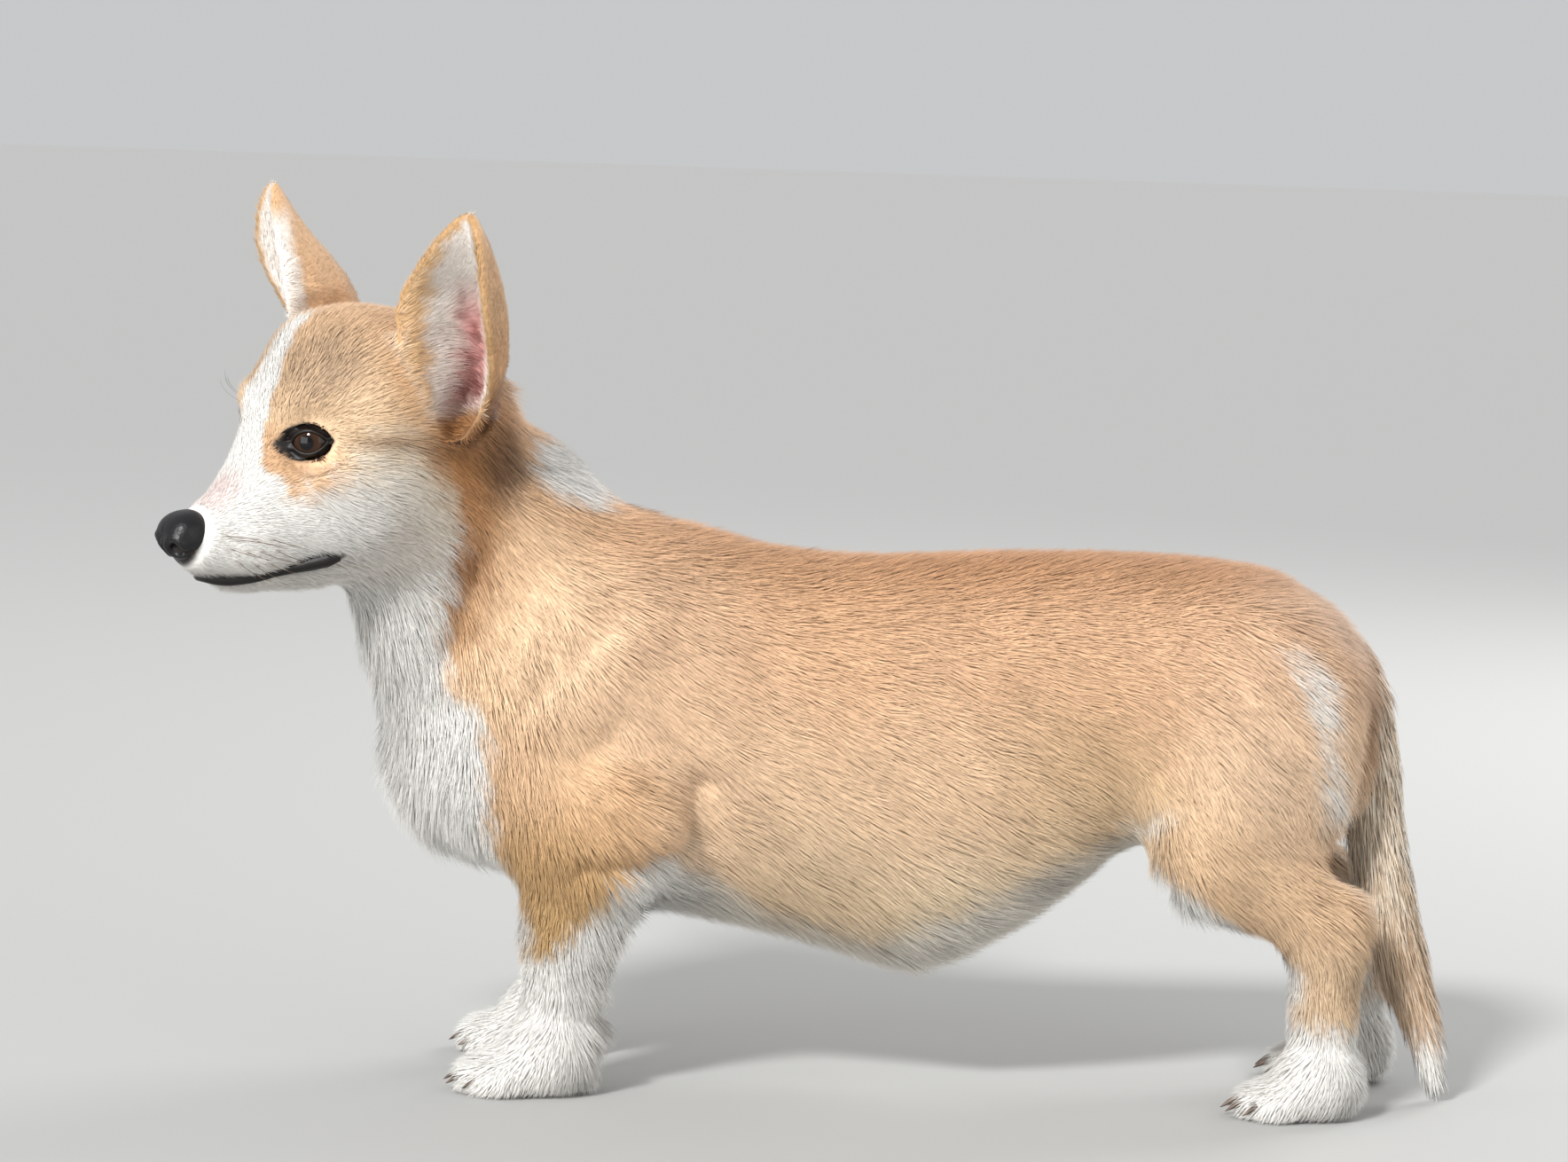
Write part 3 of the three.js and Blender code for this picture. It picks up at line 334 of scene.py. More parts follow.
HEAD_STROKES = [
    ((-18, 0, 8), (-1, 0, 0.4), 1.3, 3.2, 8),
    ((-30, 4, 16), (-1, 0, 0.5), 1.6, 4, 9),
    ((-24, 13, -6), (-1, 0.3, 0), 1.6, 3.8, 10),
    ((-40, 18, 0), (-1, 0.3, -0.1), 1.9, 4.6, 11),
    ((-30, 14, -18), (-1, 0.2, -0.4), 1.8, 4.2, 8),
    ((-52, 22, -12), (-1, 0.3, -0.2), 2.4, 6, 11),
    ((-28, 3, -29), (-1, 0, 0), 2, 5, 9),
    ((-56, 6, -34), (-1, 0.1, 0), 3, 7, 13),
    ((-42, 5, 36), (-0.6, 0, 1), 1.8, 4.2, 10),
    ((-44, 12, 26), (-0.9, 0.5, 0.3), 1.4, 3.2, 7),
    ((-50, 14, 44), (-0.9, 0.2, 0.9), 2, 4.8, 9),
    ((-60, 26, 43), (-1, 0.3, 0.4), 2, 5, 8),
    ((-58, 26, 18), (-1, 0.4, -0.4), 2, 4.6, 8),
    ((-72, 36, 30), (-1, 0.2, 0), 2.2, 5.5, 9),
    ((-66, 8, 72), (-1, 0, 0.6), 2.6, 6.5, 16),
    ((-70, 30, 55), (-1, 0.1, 0.4), 2.6, 6.5, 14),
    ((-92, 8, 80), (-1, 0, 0), 3, 7.5, 18),
    ((-95, 38, 50), (-1, 0.1, 0.2), 3, 7.5, 14),
    ((-76, 38, 5), (-1, 0.2, -0.4), 3.4, 8.5, 14),
    ((-98, 44, 8), (-1, 0.1, -0.6), 5, 12, 16),
    ((-92, 34, -22), (-1, 0.1, -0.5), 5.5, 13, 16),
    ((-118, 44, 15), (-0.7, 0.1, -1), 5.5, 13, 15),
    ((-125, 20, 70), (-1, 0, -0.4), 4, 10, 18),
    ((-132, 36, 35), (-0.8, 0.1, -0.8), 6, 14, 16),
    ((-148, 10, 50), (-1, 0, -0.8), 5.5, 13, 18),
    ((-112, 62, 55), (-0.05, 0.25, 1), 1.2, 6, 13),
    ((-108, 62, 85), (0, 0.1, 1), 1.0, 5, 16),
    ((-107, 66, 112), (0, 0.05, 1), 0.8, 4, 14),
]


def mirrored(rows, count):
    """Rows, and a twin across the middle of each off it. So many of a row's entries are turned."""
    twins = [(*((x, -y, z) for x, y, z in row[:count]), *row[count:]) for row in rows if row[0][1]]
    return list(rows) + twins


def stroke_table():
    """All strokes in the frame of the body: places, unit ways, depths, lengths and reaches."""
    rows = []
    for place, way, *rest in mirrored(BODY_STROKES, 2):
        back = HIND_STEP["right"] if place[1] < 0 and place[0] < HIND_START else 0
        rows.append((np.array(place) + (back, TAIL_SIDE, 0), np.array(way), *rest))
    rows += [(np.array(place), np.array(way), *rest) for place, way, *rest in NECK_STROKES]
    for place, way, *rest in mirrored(HEAD_STROKES, 2):
        rows.append((from_head(place)[0], HEAD_AXES @ np.array(way), *rest))
    places, ways, *numbers = (np.array(column, float) for column in zip(*rows))
    return places, ways / np.linalg.norm(ways, axis=1, keepdims=True), *numbers


STROKES = stroke_table()


def shares(points, places, reaches, fall):
    """For some thousand points at a time: which ones, and the share of each place of a table."""
    for start in range(0, len(points), 20000):
        part = slice(start, start + 20000)
        far = ((points[part, None] - places[None]) ** 2).sum(2) / reaches**2
        weight = np.exp(-far) + 1e-3 / (1 + far) ** fall
        yield part, weight / weight.sum(1, keepdims=True)


def coat_at(points):
    """Way, depth and length of the coat at places in millimetres, mixed from the strokes."""
    places, ways, depths, lengths, reaches = STROKES
    way = np.empty((len(points), 3))
    depth = np.empty(len(points))
    length = np.empty(len(points))
    for part, share in shares(points, places, reaches, fall=4):
        way[part] = share @ ways
        depth[part] = share @ depths
        length[part] = share @ lengths
    return way, depth, length


print("strokes:", len(STROKES[0]))

# %% [markdown]
# Now the flesh is pressed together. The solids are faceted, so the trunk, neck and legs are
# smoothed broadly and the head, ears and paws hardly at all. Then every point of the skin is
# moved in by the depth of the coat over it, so that the tips of the hair reach the solids.

# %% The skin
VOXEL = 1.5
SKIN_FACES = 190000
BROAD_SMOOTHING = {"neck": 1.0, "torso": 1.0, "foreleg": 0.5, "hindleg": 0.5, "forepaw": 0.04,
                   "hindpaw": 0.04, "head": 0.06, "ear": 0.05, "tail": 0.2}
# Rounds of that smoothing, and of another where the head runs over into the neck.
BROAD_ROUNDS, JOIN_ROUNDS = 60, 160
# The join's strength has ten steps, and it lies behind this f of the head's frame.
JOIN_STEPS, JOIN_BLUR, JOIN_FRONT = 10, 90, -100
# Above this height the cuff of a paw is smoothed by this much, as it runs into the leg.
CUFF_HEIGHT, CUFF_SMOOTHING = 26, 0.4
# Where locks were tucked back, the edge is smoothed in full: how near to it, and from what height.
TUCK_REACH, TUCK_HEIGHT = 6, 45
# The skin of ears, paws and tail is sunk by less than the depth of their coat, or not at all.
COVER = {"ear": -0.4, "forepaw": 0.9, "hindpaw": 0.9, "tail": 0.0}
# Forms that the solids leave out: a line of places (x, distance from the middle, height), how
# far it reaches and how high it stands, or how deep it sinks where the number is negative.
FORMS = [
    ([(84, 65, 126), (66, 67, 117)], 12, 9.0),
    ([(96, 73, 98), (66, 67, 103)], 5.5, -5.5),
    ([(52, 63, 130), (54, 60, 108)], 8, -6.5),
    ([(90, 61, 198), (110, 64, 181), (124, 63, 164), (130, 63, 154)], 7, -1.6),
    ([(76, 62, 194), (99, 64, 172), (112, 64, 157)], 10, 1.6),
    ([(82, 65, 161), (93, 66, 148), (102, 68, 135)], 7, -1.4),
    ([(102, 69, 134), (106, 68, 112)], 12, 2.0),
    ([(-82, 61, 168), (-107, 57, 140), (-126, 48, 115)], 14, -3.6),
    ([(-165, 64, 160), (-160, 66, 122)], 22, 2.4),
    ([(-137, 58, 92), (-137, 40, 92)], 10, -6.0),
    ([(-150, 42, 216)], 18, 1.5),
    ([(46, 59, 190), (44, 62, 150)], 12, 1.2),
    ([(26, 60, 190), (24, 62, 150)], 10, -1.2),
    ([(-206, 62, 98), (-217, 58, 86)], 5, -1.6),
    ([(176, 6, 138)], 12, 3.5),
    ([(160, 22, 110)], 10, -2.5),
]
LEFT_FORMS = [([(140, 52, 226), (147, 53, 205), (153, 52, 184)], 7, -2.8)]


def flesh_tree():
    """A search tree over the triangles of the flesh solids, and the solid of each triangle."""
    corners, triangles, owners = [], [], []
    for node in [*FLESH, "tail"]:
        faces = triangles_of(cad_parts[node])
        triangles.append(faces + sum(len(c) for c in corners))
        corners.append(points_of(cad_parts[node]))
        owners += [node] * len(faces)
    tree = BVHTree.FromPolygons(np.vstack(corners).tolist(), np.vstack(triangles).tolist())
    return tree, owners


FLESH_TREE, TRIANGLE_OWNERS = flesh_tree()


def owner_of(points):
    """The name of the solid nearest to each place in metres."""
    return np.array([TRIANGLE_OWNERS[FLESH_TREE.find_nearest(p)[2]] for p in points])


def apply(piece, kind, **settings):
    """Adds a modifier with these settings and applies it."""
    only(piece)
    modifier = piece.modifiers.new(kind.lower(), kind)
    for name, value in settings.items():
        setattr(modifier, name, value)
    bpy.ops.object.modifier_apply(modifier=modifier.name)


def normals_of(piece):
    """The normal at each vertex."""
    return numbers_of(piece.data.vertices, "normal", 3).astype(float)


def even_out(values, piece, rounds):
    """A value at each vertex, averaged with its neighbours' some times over."""
    a, b = numbers_of(piece.data.edges, "vertices", 2, np.int32).T
    count = np.bincount(a, minlength=len(values)) + np.bincount(b, minlength=len(values)) + 1
    for _ in range(rounds):
        total = values + np.bincount(a, values[b], len(values)) + np.bincount(b, values[a], len(values))
        values = total / count
    return values


def largest_part(piece):
    """Separates what hangs loose, such as the wall of an inner gap, and keeps the largest part."""
    only(piece)
    bpy.ops.object.mode_set(mode="EDIT")
    bpy.ops.mesh.select_all(action="SELECT")
    bpy.ops.mesh.separate(type="LOOSE")
    bpy.ops.object.mode_set(mode="OBJECT")
    parts = sorted(bpy.context.selected_objects, key=lambda o: len(o.data.vertices))
    for small in parts[:-1]:
        bpy.data.objects.remove(small)
    return parts[-1]


def along_line(points, line):
    """How far inside a soft line of round dots each place is: above 0 in it and below outside."""
    best = np.full(len(points), -1e3)
    line = line if len(line) > 1 else line * 2
    for (a, ra), (b, rb) in zip(line[:-1], line[1:]):
        a, b = np.array(a, float), np.array(b, float)
        t = np.clip(((points - a) @ (b - a)) / max((b - a) @ (b - a), 1e-9), 0, 1)
        far = np.linalg.norm(points - a - t[:, None] * (b - a), axis=1)
        best = np.maximum(best, ra + (rb - ra) * t - far)
    return best


def folded(points, middle=0):
    """Places with their distance from a middle plane in the place of y."""
    return np.stack([points[:, 0], np.abs(points[:, 1] - middle), points[:, 2]], 1)


def relief(points):
    """How far each place of the trunk and legs stands out for the forms under the coat."""
    own = folded(points, TAIL_SIDE)
    left = points[:, 1] > TAIL_SIDE
    rise = np.zeros(len(points))
    for forms, where in ((FORMS, 1.0), (LEFT_FORMS, left)):
        for line, reach, height in forms:
            far = -along_line(own, [(place, 0) for place in line])
            rise += height * np.exp(-((far / reach) ** 2)) * where
    return rise


only(*flesh)
bpy.ops.object.join()
skin = bpy.context.view_layer.objects.active
apply(skin, "REMESH", mode="VOXEL", voxel_size=VOXEL * MM)
skin = largest_part(skin)
skin.name = "skin"
owners = owner_of(points_of(skin))
broad = skin.vertex_groups.new(name="broad")
for start, weight in BROAD_SMOOTHING.items():
    chosen = np.flatnonzero([owner.startswith(start) for owner in owners])
    broad.add(chosen.tolist(), weight, "REPLACE")
own = points_of(skin) / MM
cuffs = np.char.find(owners, "paw") > 0
broad.add(np.flatnonzero(cuffs & (own[:, 2] > CUFF_HEIGHT)).tolist(), CUFF_SMOOTHING, "REPLACE")
for start, back_edge in BACK_EDGE.items():
    edge = np.interp(own[:, 2], *zip(*back_edge)) + TUCK_REACH
    tucked = np.char.startswith(owners, start) & (own[:, 0] < edge) & (own[:, 2] > TUCK_HEIGHT)
    broad.add(np.flatnonzero(tucked).tolist(), 1.0, "REPLACE")
join = skin.vertex_groups.new(name="join")
neck_own = np.char.startswith(owners, "neck")
on_neck = even_out(neck_own.astype(float), skin, JOIN_BLUR)
blend = 4 * on_neck * (1 - on_neck) * (np.char.startswith(owners, "head") | neck_own)
blend *= to_head(own)[:, 0] < JOIN_FRONT
for level in range(1, JOIN_STEPS + 1):
    chosen = np.flatnonzero((blend > level / JOIN_STEPS - 0.1) & (blend <= level / JOIN_STEPS))
    join.add(chosen.tolist(), level / JOIN_STEPS, "REPLACE")
apply(skin, "SMOOTH", factor=0.5, iterations=BROAD_ROUNDS, vertex_group="broad")
apply(skin, "SMOOTH", factor=0.5, iterations=JOIN_ROUNDS, vertex_group="join")
apply(skin, "SMOOTH", factor=0.5, iterations=2)
points = points_of(skin) / MM
_, depth, _ = coat_at(points)
for start, cover in COVER.items():
    depth = np.where([owner.startswith(start) for owner in owners], cover, depth)
depth = even_out(depth, skin, 12)
before = normals_of(skin)
on_body = ~np.array([owner.startswith(("head", "ear", "tail")) for owner in owners])
rise = even_out(relief(points) * on_body, skin, 6)
place_points(skin, (points + before * (rise - depth)[:, None]) * MM)
apply(skin, "SMOOTH", factor=0.4, iterations=3)
print("points of the skin turned over:", int(((normals_of(skin) * before).sum(1) < 0).sum()))
apply(skin, "TRIANGULATE")
apply(skin, "DECIMATE", ratio=min(1.0, SKIN_FACES / len(skin.data.polygons)))
skin.vertex_groups.clear()
print("skin:", len(skin.data.vertices), "points,", len(skin.data.polygons), "faces")

# %% [markdown]
# An ear is a folded sheet that opens forward and outward. Three lines give its form: the front
# rim, the deepest line at the back, and the outer rim. They tell the hollow from the back of
# the ear, where the pale hair inside ends, and where the fawn rim runs.

# %% Lines of the ears
# Rows up the ear in the head's frame: front rim, deepest line, outer rim.
EAR_ROWS = [
    ((-104, 44, 26), (-114, 42, 25), (-111, 48, 26)),
    ((-100.5, 45, 37), (-123, 40, 37), (-120, 55, 38)),
    ((-95, 44, 55), (-127, 45, 55), (-115, 68, 55)),
    ((-91, 38, 71), (-126, 48, 72), (-110, 75, 71)),
    ((-91.5, 36, 84), (-123, 52, 84), (-106.5, 78, 84)),
    ((-95, 44, 98), (-117, 59, 97), (-105, 78.5, 98)),
    ((-99.5, 53, 110), (-112, 64, 109), (-105.5, 76, 110)),
    ((-103.5, 60, 118), (-109, 66, 117.5), (-106.5, 72.5, 118)),
    ((-106.8, 65, 122), (-108.3, 67.2, 122), (-107.5, 69.5, 121.8)),
]
# The hollow ends at this height. Rows of height and width tell how far hair from the front rim
# reaches over it.
HOLLOW_END = 35
FRINGE = [(36, 3), (50, 6), (61, 10), (73, 12), (84, 11), (96, 6), (108, 2), (118, 1)]
# The left ear (1) and the right ear (-1) are turned and raised at the tip by these amounts.
EAR_TURN = {1: -4, -1: 9}
EAR_RISE = {1: -3, -1: 1.5}
# In the far ear, pale hair lies over the front rim by this much, between these two heights.
OVER_RIM, OVER_RIM_HEIGHTS = 8, (46, 112)
# The pink of an ear lies this near to its deepest line, between these two heights.
CONCHA_REACH, CONCHA_HEIGHTS = 11, (38, 84)
# The fawn rim is so wide.
RIM_WIDTH = 2.0
# Shares of the front, deep and outer lines in the middle of the hollow that the skin looks into.
MIDDLE_SHARES = (0.36, 0.24, 0.40)


def ear_lines(s):
    """The front rim, deepest line and outer rim of one ear, in the head's frame."""
    rows = np.array(EAR_ROWS, float)
    lift = np.clip((rows[..., 2] - 30) / 70, 0, 1)
    rows[..., 1] *= s
    rows[..., 0] += EAR_TURN[s] * lift
    rows[..., 2] += EAR_RISE[s] * lift
    return rows.transpose(1, 0, 2)


def between(places, rows, table):
    """The columns of a table, each read off between its rows."""
    return np.stack([np.interp(places, rows, column) for column in table.T], 1)


def in_ear(head, normals):
    """For places in the head's frame: 1 in an ear's hollow, and how far its three lines are."""
    hollow = np.zeros(len(head))
    far = np.full((3, len(head)), 99.0)
    facing = normals @ HEAD_AXES
    for s in (1, -1):
        front, deep, outer = ear_lines(s)
        mine = (head[:, 1] * s > 30) & (head[:, 2] > 22)
        own = head[mine]
        middle = sum(share * between(own[:, 2], line[:, 2], line[:, :2])
                     for share, line in zip(MIDDLE_SHARES, (front, deep, outer)))
        toward = middle - own[:, :2]
        toward /= np.maximum(np.linalg.norm(toward, axis=1, keepdims=True), 1e-6)
        behind_rim = np.interp(own[:, 2], front[:, 2], front[:, 0]) + 2.5 - own[:, 0]
        inside = step((toward * facing[mine, :2]).sum(1) - 0.1, 0.4) * step(behind_rim, 3)
        hollow[mine] = inside * step(own[:, 2] - HOLLOW_END, 4)
        far[:, mine] = [-along_line(own, [(row, 0) for row in line]) for line in (front, deep, outer)]
    return hollow, *far


def fringe(u, to_front):
    """1 where fawn hair from the front rim lies over the hollow of an ear."""
    return step(np.interp(u, *zip(*FRINGE)) - to_front, 4)


print("tip of the left ear in mm:", np.round(from_head(ear_lines(1)[0, -1])[0]))

# %% [markdown]
# The mouth of a closed muzzle is a line of black lip that starts under the nose, sinks a little
# and ends in a thick corner below the eye. Its places are found by looking in at the skin, and
# both the colours and the lip's own piece follow it.

# %% The line of the mouth
def tree_of(piece):
    """A search tree over the triangles of a mesh."""
    return BVHTree.FromPolygons(points_of(piece).tolist(), triangles_of(piece).tolist())


SKIN_TREE = tree_of(skin)
# The side of the mouth as rows of f, u and the lip's radius, and its front as rows of the angle
# round from straight ahead, u and radius.
MOUTH_SIDE = [(-24, -22.4, 2.4), (-32, -22.4, 2.2), (-41, -21.4, 1.5), (-47, -20.2, 2.0),
              (-54, -18.6, 3.1), (-60, -17.0, 3.3), (-63.5, -16.3, 1.8)]
MOUTH_FRONT = [(70, -22.2, 2.5), (45, -21.6, 2.5), (20, -20.6, 2.3)]
# The angles are taken round a line at this f, and the lip stands this far out of the skin.
MUZZLE_CORE = -26
LIP_LIFT = 0.7


def on_skin(core, way, lift=0.0):
    """The place on the skin met on the way in to a place in the head, in metres."""
    way = Vector(HEAD_AXES @ np.array(way, float))
    start = Vector(from_head(core)[0]) * MM
    hit = SKIN_TREE.ray_cast(start + way * 60 * MM, -way)
    return hit[0] + way * lift * MM


def mouth_line(s):
    """The lip line of one side, from the middle of the front to the corner, in metres."""
    front = [on_skin((MUZZLE_CORE, 0, u), (cos(radians(a)), s * sin(radians(a)), 0), LIP_LIFT)
             for a, u, _ in reversed(MOUTH_FRONT)]
    return front + [on_skin((f, 0, u), (0, s, 0), LIP_LIFT) for f, u, _ in MOUTH_SIDE]


LIP_LINE = [(np.array(place) / MM, radius) for place, radius in zip(
    mouth_line(1)[::-1] + mouth_line(-1),
    [r for *_, r in MOUTH_SIDE[::-1] + MOUTH_FRONT + MOUTH_FRONT[::-1] + MOUTH_SIDE])]
# The middle of the nose leather and half its size, in the head's frame.
NOSE_CENTRE = np.array([-9.6, 0, -4.0])
NOSE_SIZE = np.array([9.8, 11.6, 11.2])
# Where whiskers grow on the muzzle, as rows of f and u.
WHISKER_ROOTS = [(-20, -3), (-25, -5), (-31, -6), (-37, -6), (-21, -8), (-27, -10),
                 (-33, -11), (-39, -11), (-24, -14), (-30, -15.5), (-36, -16)]
print("points along the lips:", len(LIP_LINE))

# %% [markdown]
# The eye shows as an almond between the lids. Its size and slant are kept here, because the
# skin is black inside it and no hair grows there. The lids themselves are made further on.

# %% The almond of the eye
# The eyeball in the head's frame, and how far it looks outward and upward.
EYE_CENTRE = (-63, 17.2, 29.6)
EYE_RADIUS = 10.2
EYE_OUT, EYE_UP = radians(42), radians(6)
# How far the middle of the lids lies over the middle of the ball, and their slant.
LID_RISE, LID_SLANT = 0.2, radians(2)
# How pointed the corners are, and how far the peak of the upper lid lies toward the nose.
LID_POINT, LID_PEAK = 0.6, 0.12
# Rings of the lids from the eyeball outward, and back under the skin: half width, half height,
# shift away from the nose, height over the eyeball, and height over the skin around it. FREE
# stands where a ring doesn't follow the one or the other.
FREE = -9
LID_RINGS = [
    (7.0, 4.0, 0.6, 0.1, FREE), (7.1, 4.1, 0.6, 1.1, FREE), (8.1, 5.0, 0.3, 1.8, FREE),
    (9.7, 6.2, -0.5, 1.3, 0.8), (12.2, 7.2, -1.5, FREE, 0.9), (13.0, 7.8, -1.6, FREE, -1.0),
    (9.0, 5.8, 0.0, -2.5, FREE),
]
SIDES = {"left": 1, "right": -1}


def in_almond(points):
    """For places in millimetres: below 1 inside the outer edge of the lids of either eye."""
    look = unit(np.array([[cos(EYE_OUT), sin(EYE_OUT), sin(EYE_UP)]]))[0]
    level = unit(np.cross([0, 0, 1], look)[None])[0]
    off = folded(to_head(points)) - EYE_CENTRE
    across, up = off @ level, off @ np.cross(look, level) - LID_RISE
    across, up = (across * cos(LID_SLANT) + up * sin(LID_SLANT),
                  up * cos(LID_SLANT) - across * sin(LID_SLANT))
    wide, high, shift, *_ = LID_RINGS[4]
    almond = ((across - shift) / (wide + 0.3)) ** 2 + (np.abs(up) / (high + 0.4)) ** (2 / (1 + LID_POINT))
    return np.where(off @ look > 2, almond, 9)


print("the almond of the eye in mm:", [2 * v for v in LID_RINGS[0][:2]])

# %% [markdown]
# Markings are part of the coat and of the skin alike. Soft strokes of colour lay down the fawn
# ground, redder on the back and paler low on the sides. White, cream and dark fields are then
# laid over it, each bounded by a line of named points, with an edge as ragged as hair makes it.
# Some of the dark is painted shade: under the belly, behind and at the root of the ears, in the
# creases inside the ears, and in the fold of the neck.

# %% Colours
def srgb(red, green, blue):
    """A colour of the screen, 0 to 255, as the linear numbers that Blender mixes."""
    value = np.array([red, green, blue]) / 255
    return np.where(value <= 0.04045, value / 12.92, ((value + 0.055) / 1.055) ** 2.4)


WHITE = srgb(234, 231, 225)
CREAM = srgb(236, 222, 198)
GREY_TICK = srgb(150, 124, 100)
# Near black for behind the ear: dark fur, partly painted shade.
DARK_FUR_AND_SHADE = srgb(62, 50, 42)
BROWN = srgb(150, 104, 66)
PINK = srgb(218, 152, 146)
LIP_BLACK = srgb(34, 28, 26)
EAR_PALE = srgb(244, 234, 224)
EAR_RIM = srgb(194, 154, 108)
EAR_FRINGE = srgb(226, 186, 140)
# The grey under the belly is partly painted shade.
BELLY_SHADE_GREY = srgb(128, 122, 116)
# A darker pink, painted shade in the creases inside the ear.
EAR_FOLD_SHADE = srgb(140, 74, 68)
SABLE = srgb(212, 192, 166)
TAIL_BROWN = srgb(184, 144, 106)
# The ground colours: place, colour of the screen and reach.
BODY_GROUND = [
    ((90, 0, 230), (218, 170, 130), 36),
    ((20, 0, 230), (202, 152, 110), 40),
    ((-60, 0, 228), (198, 146, 104), 40),
    ((-150, 0, 226), (194, 144, 104), 40),
    ((-215, 5, 200), (192, 154, 122), 28),
    ((60, 58, 190), (238, 198, 162), 36),
    ((0, 60, 190), (228, 182, 142), 36),
    ((-60, 60, 190), (228, 184, 146), 36),
    ((-130, 60, 190), (228, 184, 146), 36),
    ((-190, 56, 190), (232, 192, 158), 30),
    ((20, 60, 135), (240, 204, 168), 36),
    ((-50, 60, 130), (240, 204, 168), 36),
    ((-110, 60, 130), (218, 184, 144), 32),
    ((0, 50, 90), (238, 210, 174), 28),
    ((-60, 48, 80), (244, 222, 188), 26),
    ((-110, 48, 100), (240, 216, 182), 24),
    ((100, 58, 170), (244, 208, 172), 26),
    ((114, 52, 138), (224, 184, 144), 22),
    ((84, 62, 122), (230, 186, 142), 16),
    ((105, 54, 100), (202, 162, 114), 20),
    ((110, 50, 70), (190, 154, 106), 20),
    ((-185, 62, 150), (240, 206, 172), 30),
    ((-165, 60, 105), (228, 192, 154), 22),
    ((-215, 52, 92), (220, 184, 148), 20),
    ((-212, 50, 55), (216, 186, 152), 20),
]
NECK_GROUND = [
    # These three rows are a dark band down the neck behind the ear: partly the coat's own colour, partly
    # painted shade in the fold of the neck.
    ((150, 42, 238), (200, 146, 98), 16),
    ((144, 38, 217), (158, 108, 66), 12),
    ((149, 38, 194), (184, 134, 88), 11),
    ((120, 42, 185), (242, 204, 164), 26),
    ((110, 40, 225), (242, 206, 168), 22),
    ((110, -56, 200), (236, 196, 156), 30),
    ((100, 0, 250), (230, 188, 148), 24),
]
HEAD_GROUND = [
    ((-70, 22, 66), (214, 180, 144), 18),
    ((-95, 10, 80), (224, 184, 146), 20),
    ((-60, 22, 48), (232, 198, 160), 11),
    ((-46, 16, 22), (210, 168, 128), 9),
    ((-56, 30, 14), (224, 184, 146), 10),
    ((-82, 40, 40), (244, 210, 172), 14),
    ((-80, 40, 22), (242, 214, 178), 10),
    ((-98, 42, 48), (216, 162, 110), 12),
    ((-120, 40, 20), (190, 136, 86), 16),
    ((-125, 20, 70), (204, 158, 116), 20),
    ((-118, 55, 60), (206, 160, 116), 16),
    ((-112, 62, 95), (214, 172, 130), 20),
]
# The near edge of the white front of the dog in side view: height and x.
BIB_EDGE = [(60, 112), (85, 121), (95, 127), (116, 133), (140, 134), (158, 138), (168, 151),
            (190, 157), (206, 155), (221, 153), (236, 152), (252, 156), (262, 164), (300, 200)]
# The lower edge of the fawn on the side of the head: f and u.
CHEEK_EDGE = [(-119, -30), (-110, 4), (-99, 18), (-91, 26), (-78, 24), (-69, 19), (-55, 11),
              (-47, 9), (-40, 12), (-34, 40), (0, 90)]
# The blaze lies a little to the right. Half its width: u and width.
BLAZE_SIDE = -2.5
BLAZE = [(14, 26), (23, 16), (30, 12.5), (37, 11), (51, 11), (60, 9), (68, 7.5), (75, 5), (81, 0)]
# The back edge of the fawn on the foreleg in side view: height and x.
FORELEG_EDGE = [(52, 124), (58, 112), (62, 104), (77, 92), (94, 76), (101, 66), (106, 50), (112, 0)]
# The lower edge of the fawn on the side of the belly: x and height.
BELLY_EDGE = [(-140, 122), (-123, 115), (-100, 102), (-69, 87), (-52, 79), (-24, 68), (0, 72),
              (23, 79), (40, 90), (56, 98), (75, 100)]
# The white line down the buttock: places, with y from the middle plane, and how wide it is.
BUTTOCK_LINE = [((-193, 58, 193), 6), ((-204, 59, 178), 9), ((-209, 59, 160), 6),
                ((-210, 57, 142), 7), ((-216, 50, 128), 9), ((-215, 50, 106), 6)]
# The front edge of the white on the hind leg in side view: height and x.
HINDLEG_EDGE = [(40, -190), (62, -192), (80, -166), (104, -130)]
# The white front: it ends at this height, and the brisket's white is so wide to each side, so
# high, and reaches back to this x.
BIB_BOTTOM = 62
BRISKET_WIDTH, BRISKET_TOP, BRISKET_BACK = 40, 112, 50
# The inside of the legs is white within this distance of the middle and below this height.
INSIDE_WIDTH, INSIDE_TOP = 34, 96
# The white of a foreleg and of a hind paw ends at these heights, as does a hind leg's front edge.
FORE_WHITE_TOP, HIND_WHITE_TOP, HIND_EDGE_TOP = 57, 39, 106
# Heights on the tail: sable below the first, brown below the second, white below the third.
TAIL_SABLE, TAIL_BROWNER, TAIL_WHITE = 172, 98, 46
# Oval patches: centre and half size.
NAPE_PATCH = ((104, 2, 255), (24, 23, 16))
BELLY_SHADE = ((-102, 30, 88), (22, 20, 12))
BROW_TICKS = ((-64, 22, 60), (18, 16, 17))
BEHIND_EAR = ((-140, 42, 14), (14, 14, 20))
NOSE_BRIDGE = ((-26, 4, 12), (12, 7, 9))
# The patch at the root of the ear is painted shade.
EAR_ROOT = ((-122, 52, 34), (16, 13, 22))
# The dark streak behind the eye: places, and how wide it is.
EYE_STREAK = [((-70, 35, 30), 1.5), ((-80, 41, 29), 2.5), ((-94, 45, 27), 4), ((-104, 46, 22), 6)]


def ground_table():
    """The ground colours in the frame of the body: places, colours and reaches."""
    rows = [(np.array(p) + (0, TAIL_SIDE, 0), srgb(*c), r) for p, c, r in mirrored(BODY_GROUND, 1)]
    rows += [(np.array(p), srgb(*c), r) for p, c, r in NECK_GROUND]
    rows += [(from_head(p)[0], srgb(*c), r) for p, c, r in mirrored(HEAD_GROUND, 1)]
    return [np.array(column, float) for column in zip(*rows)]


GROUND = ground_table()


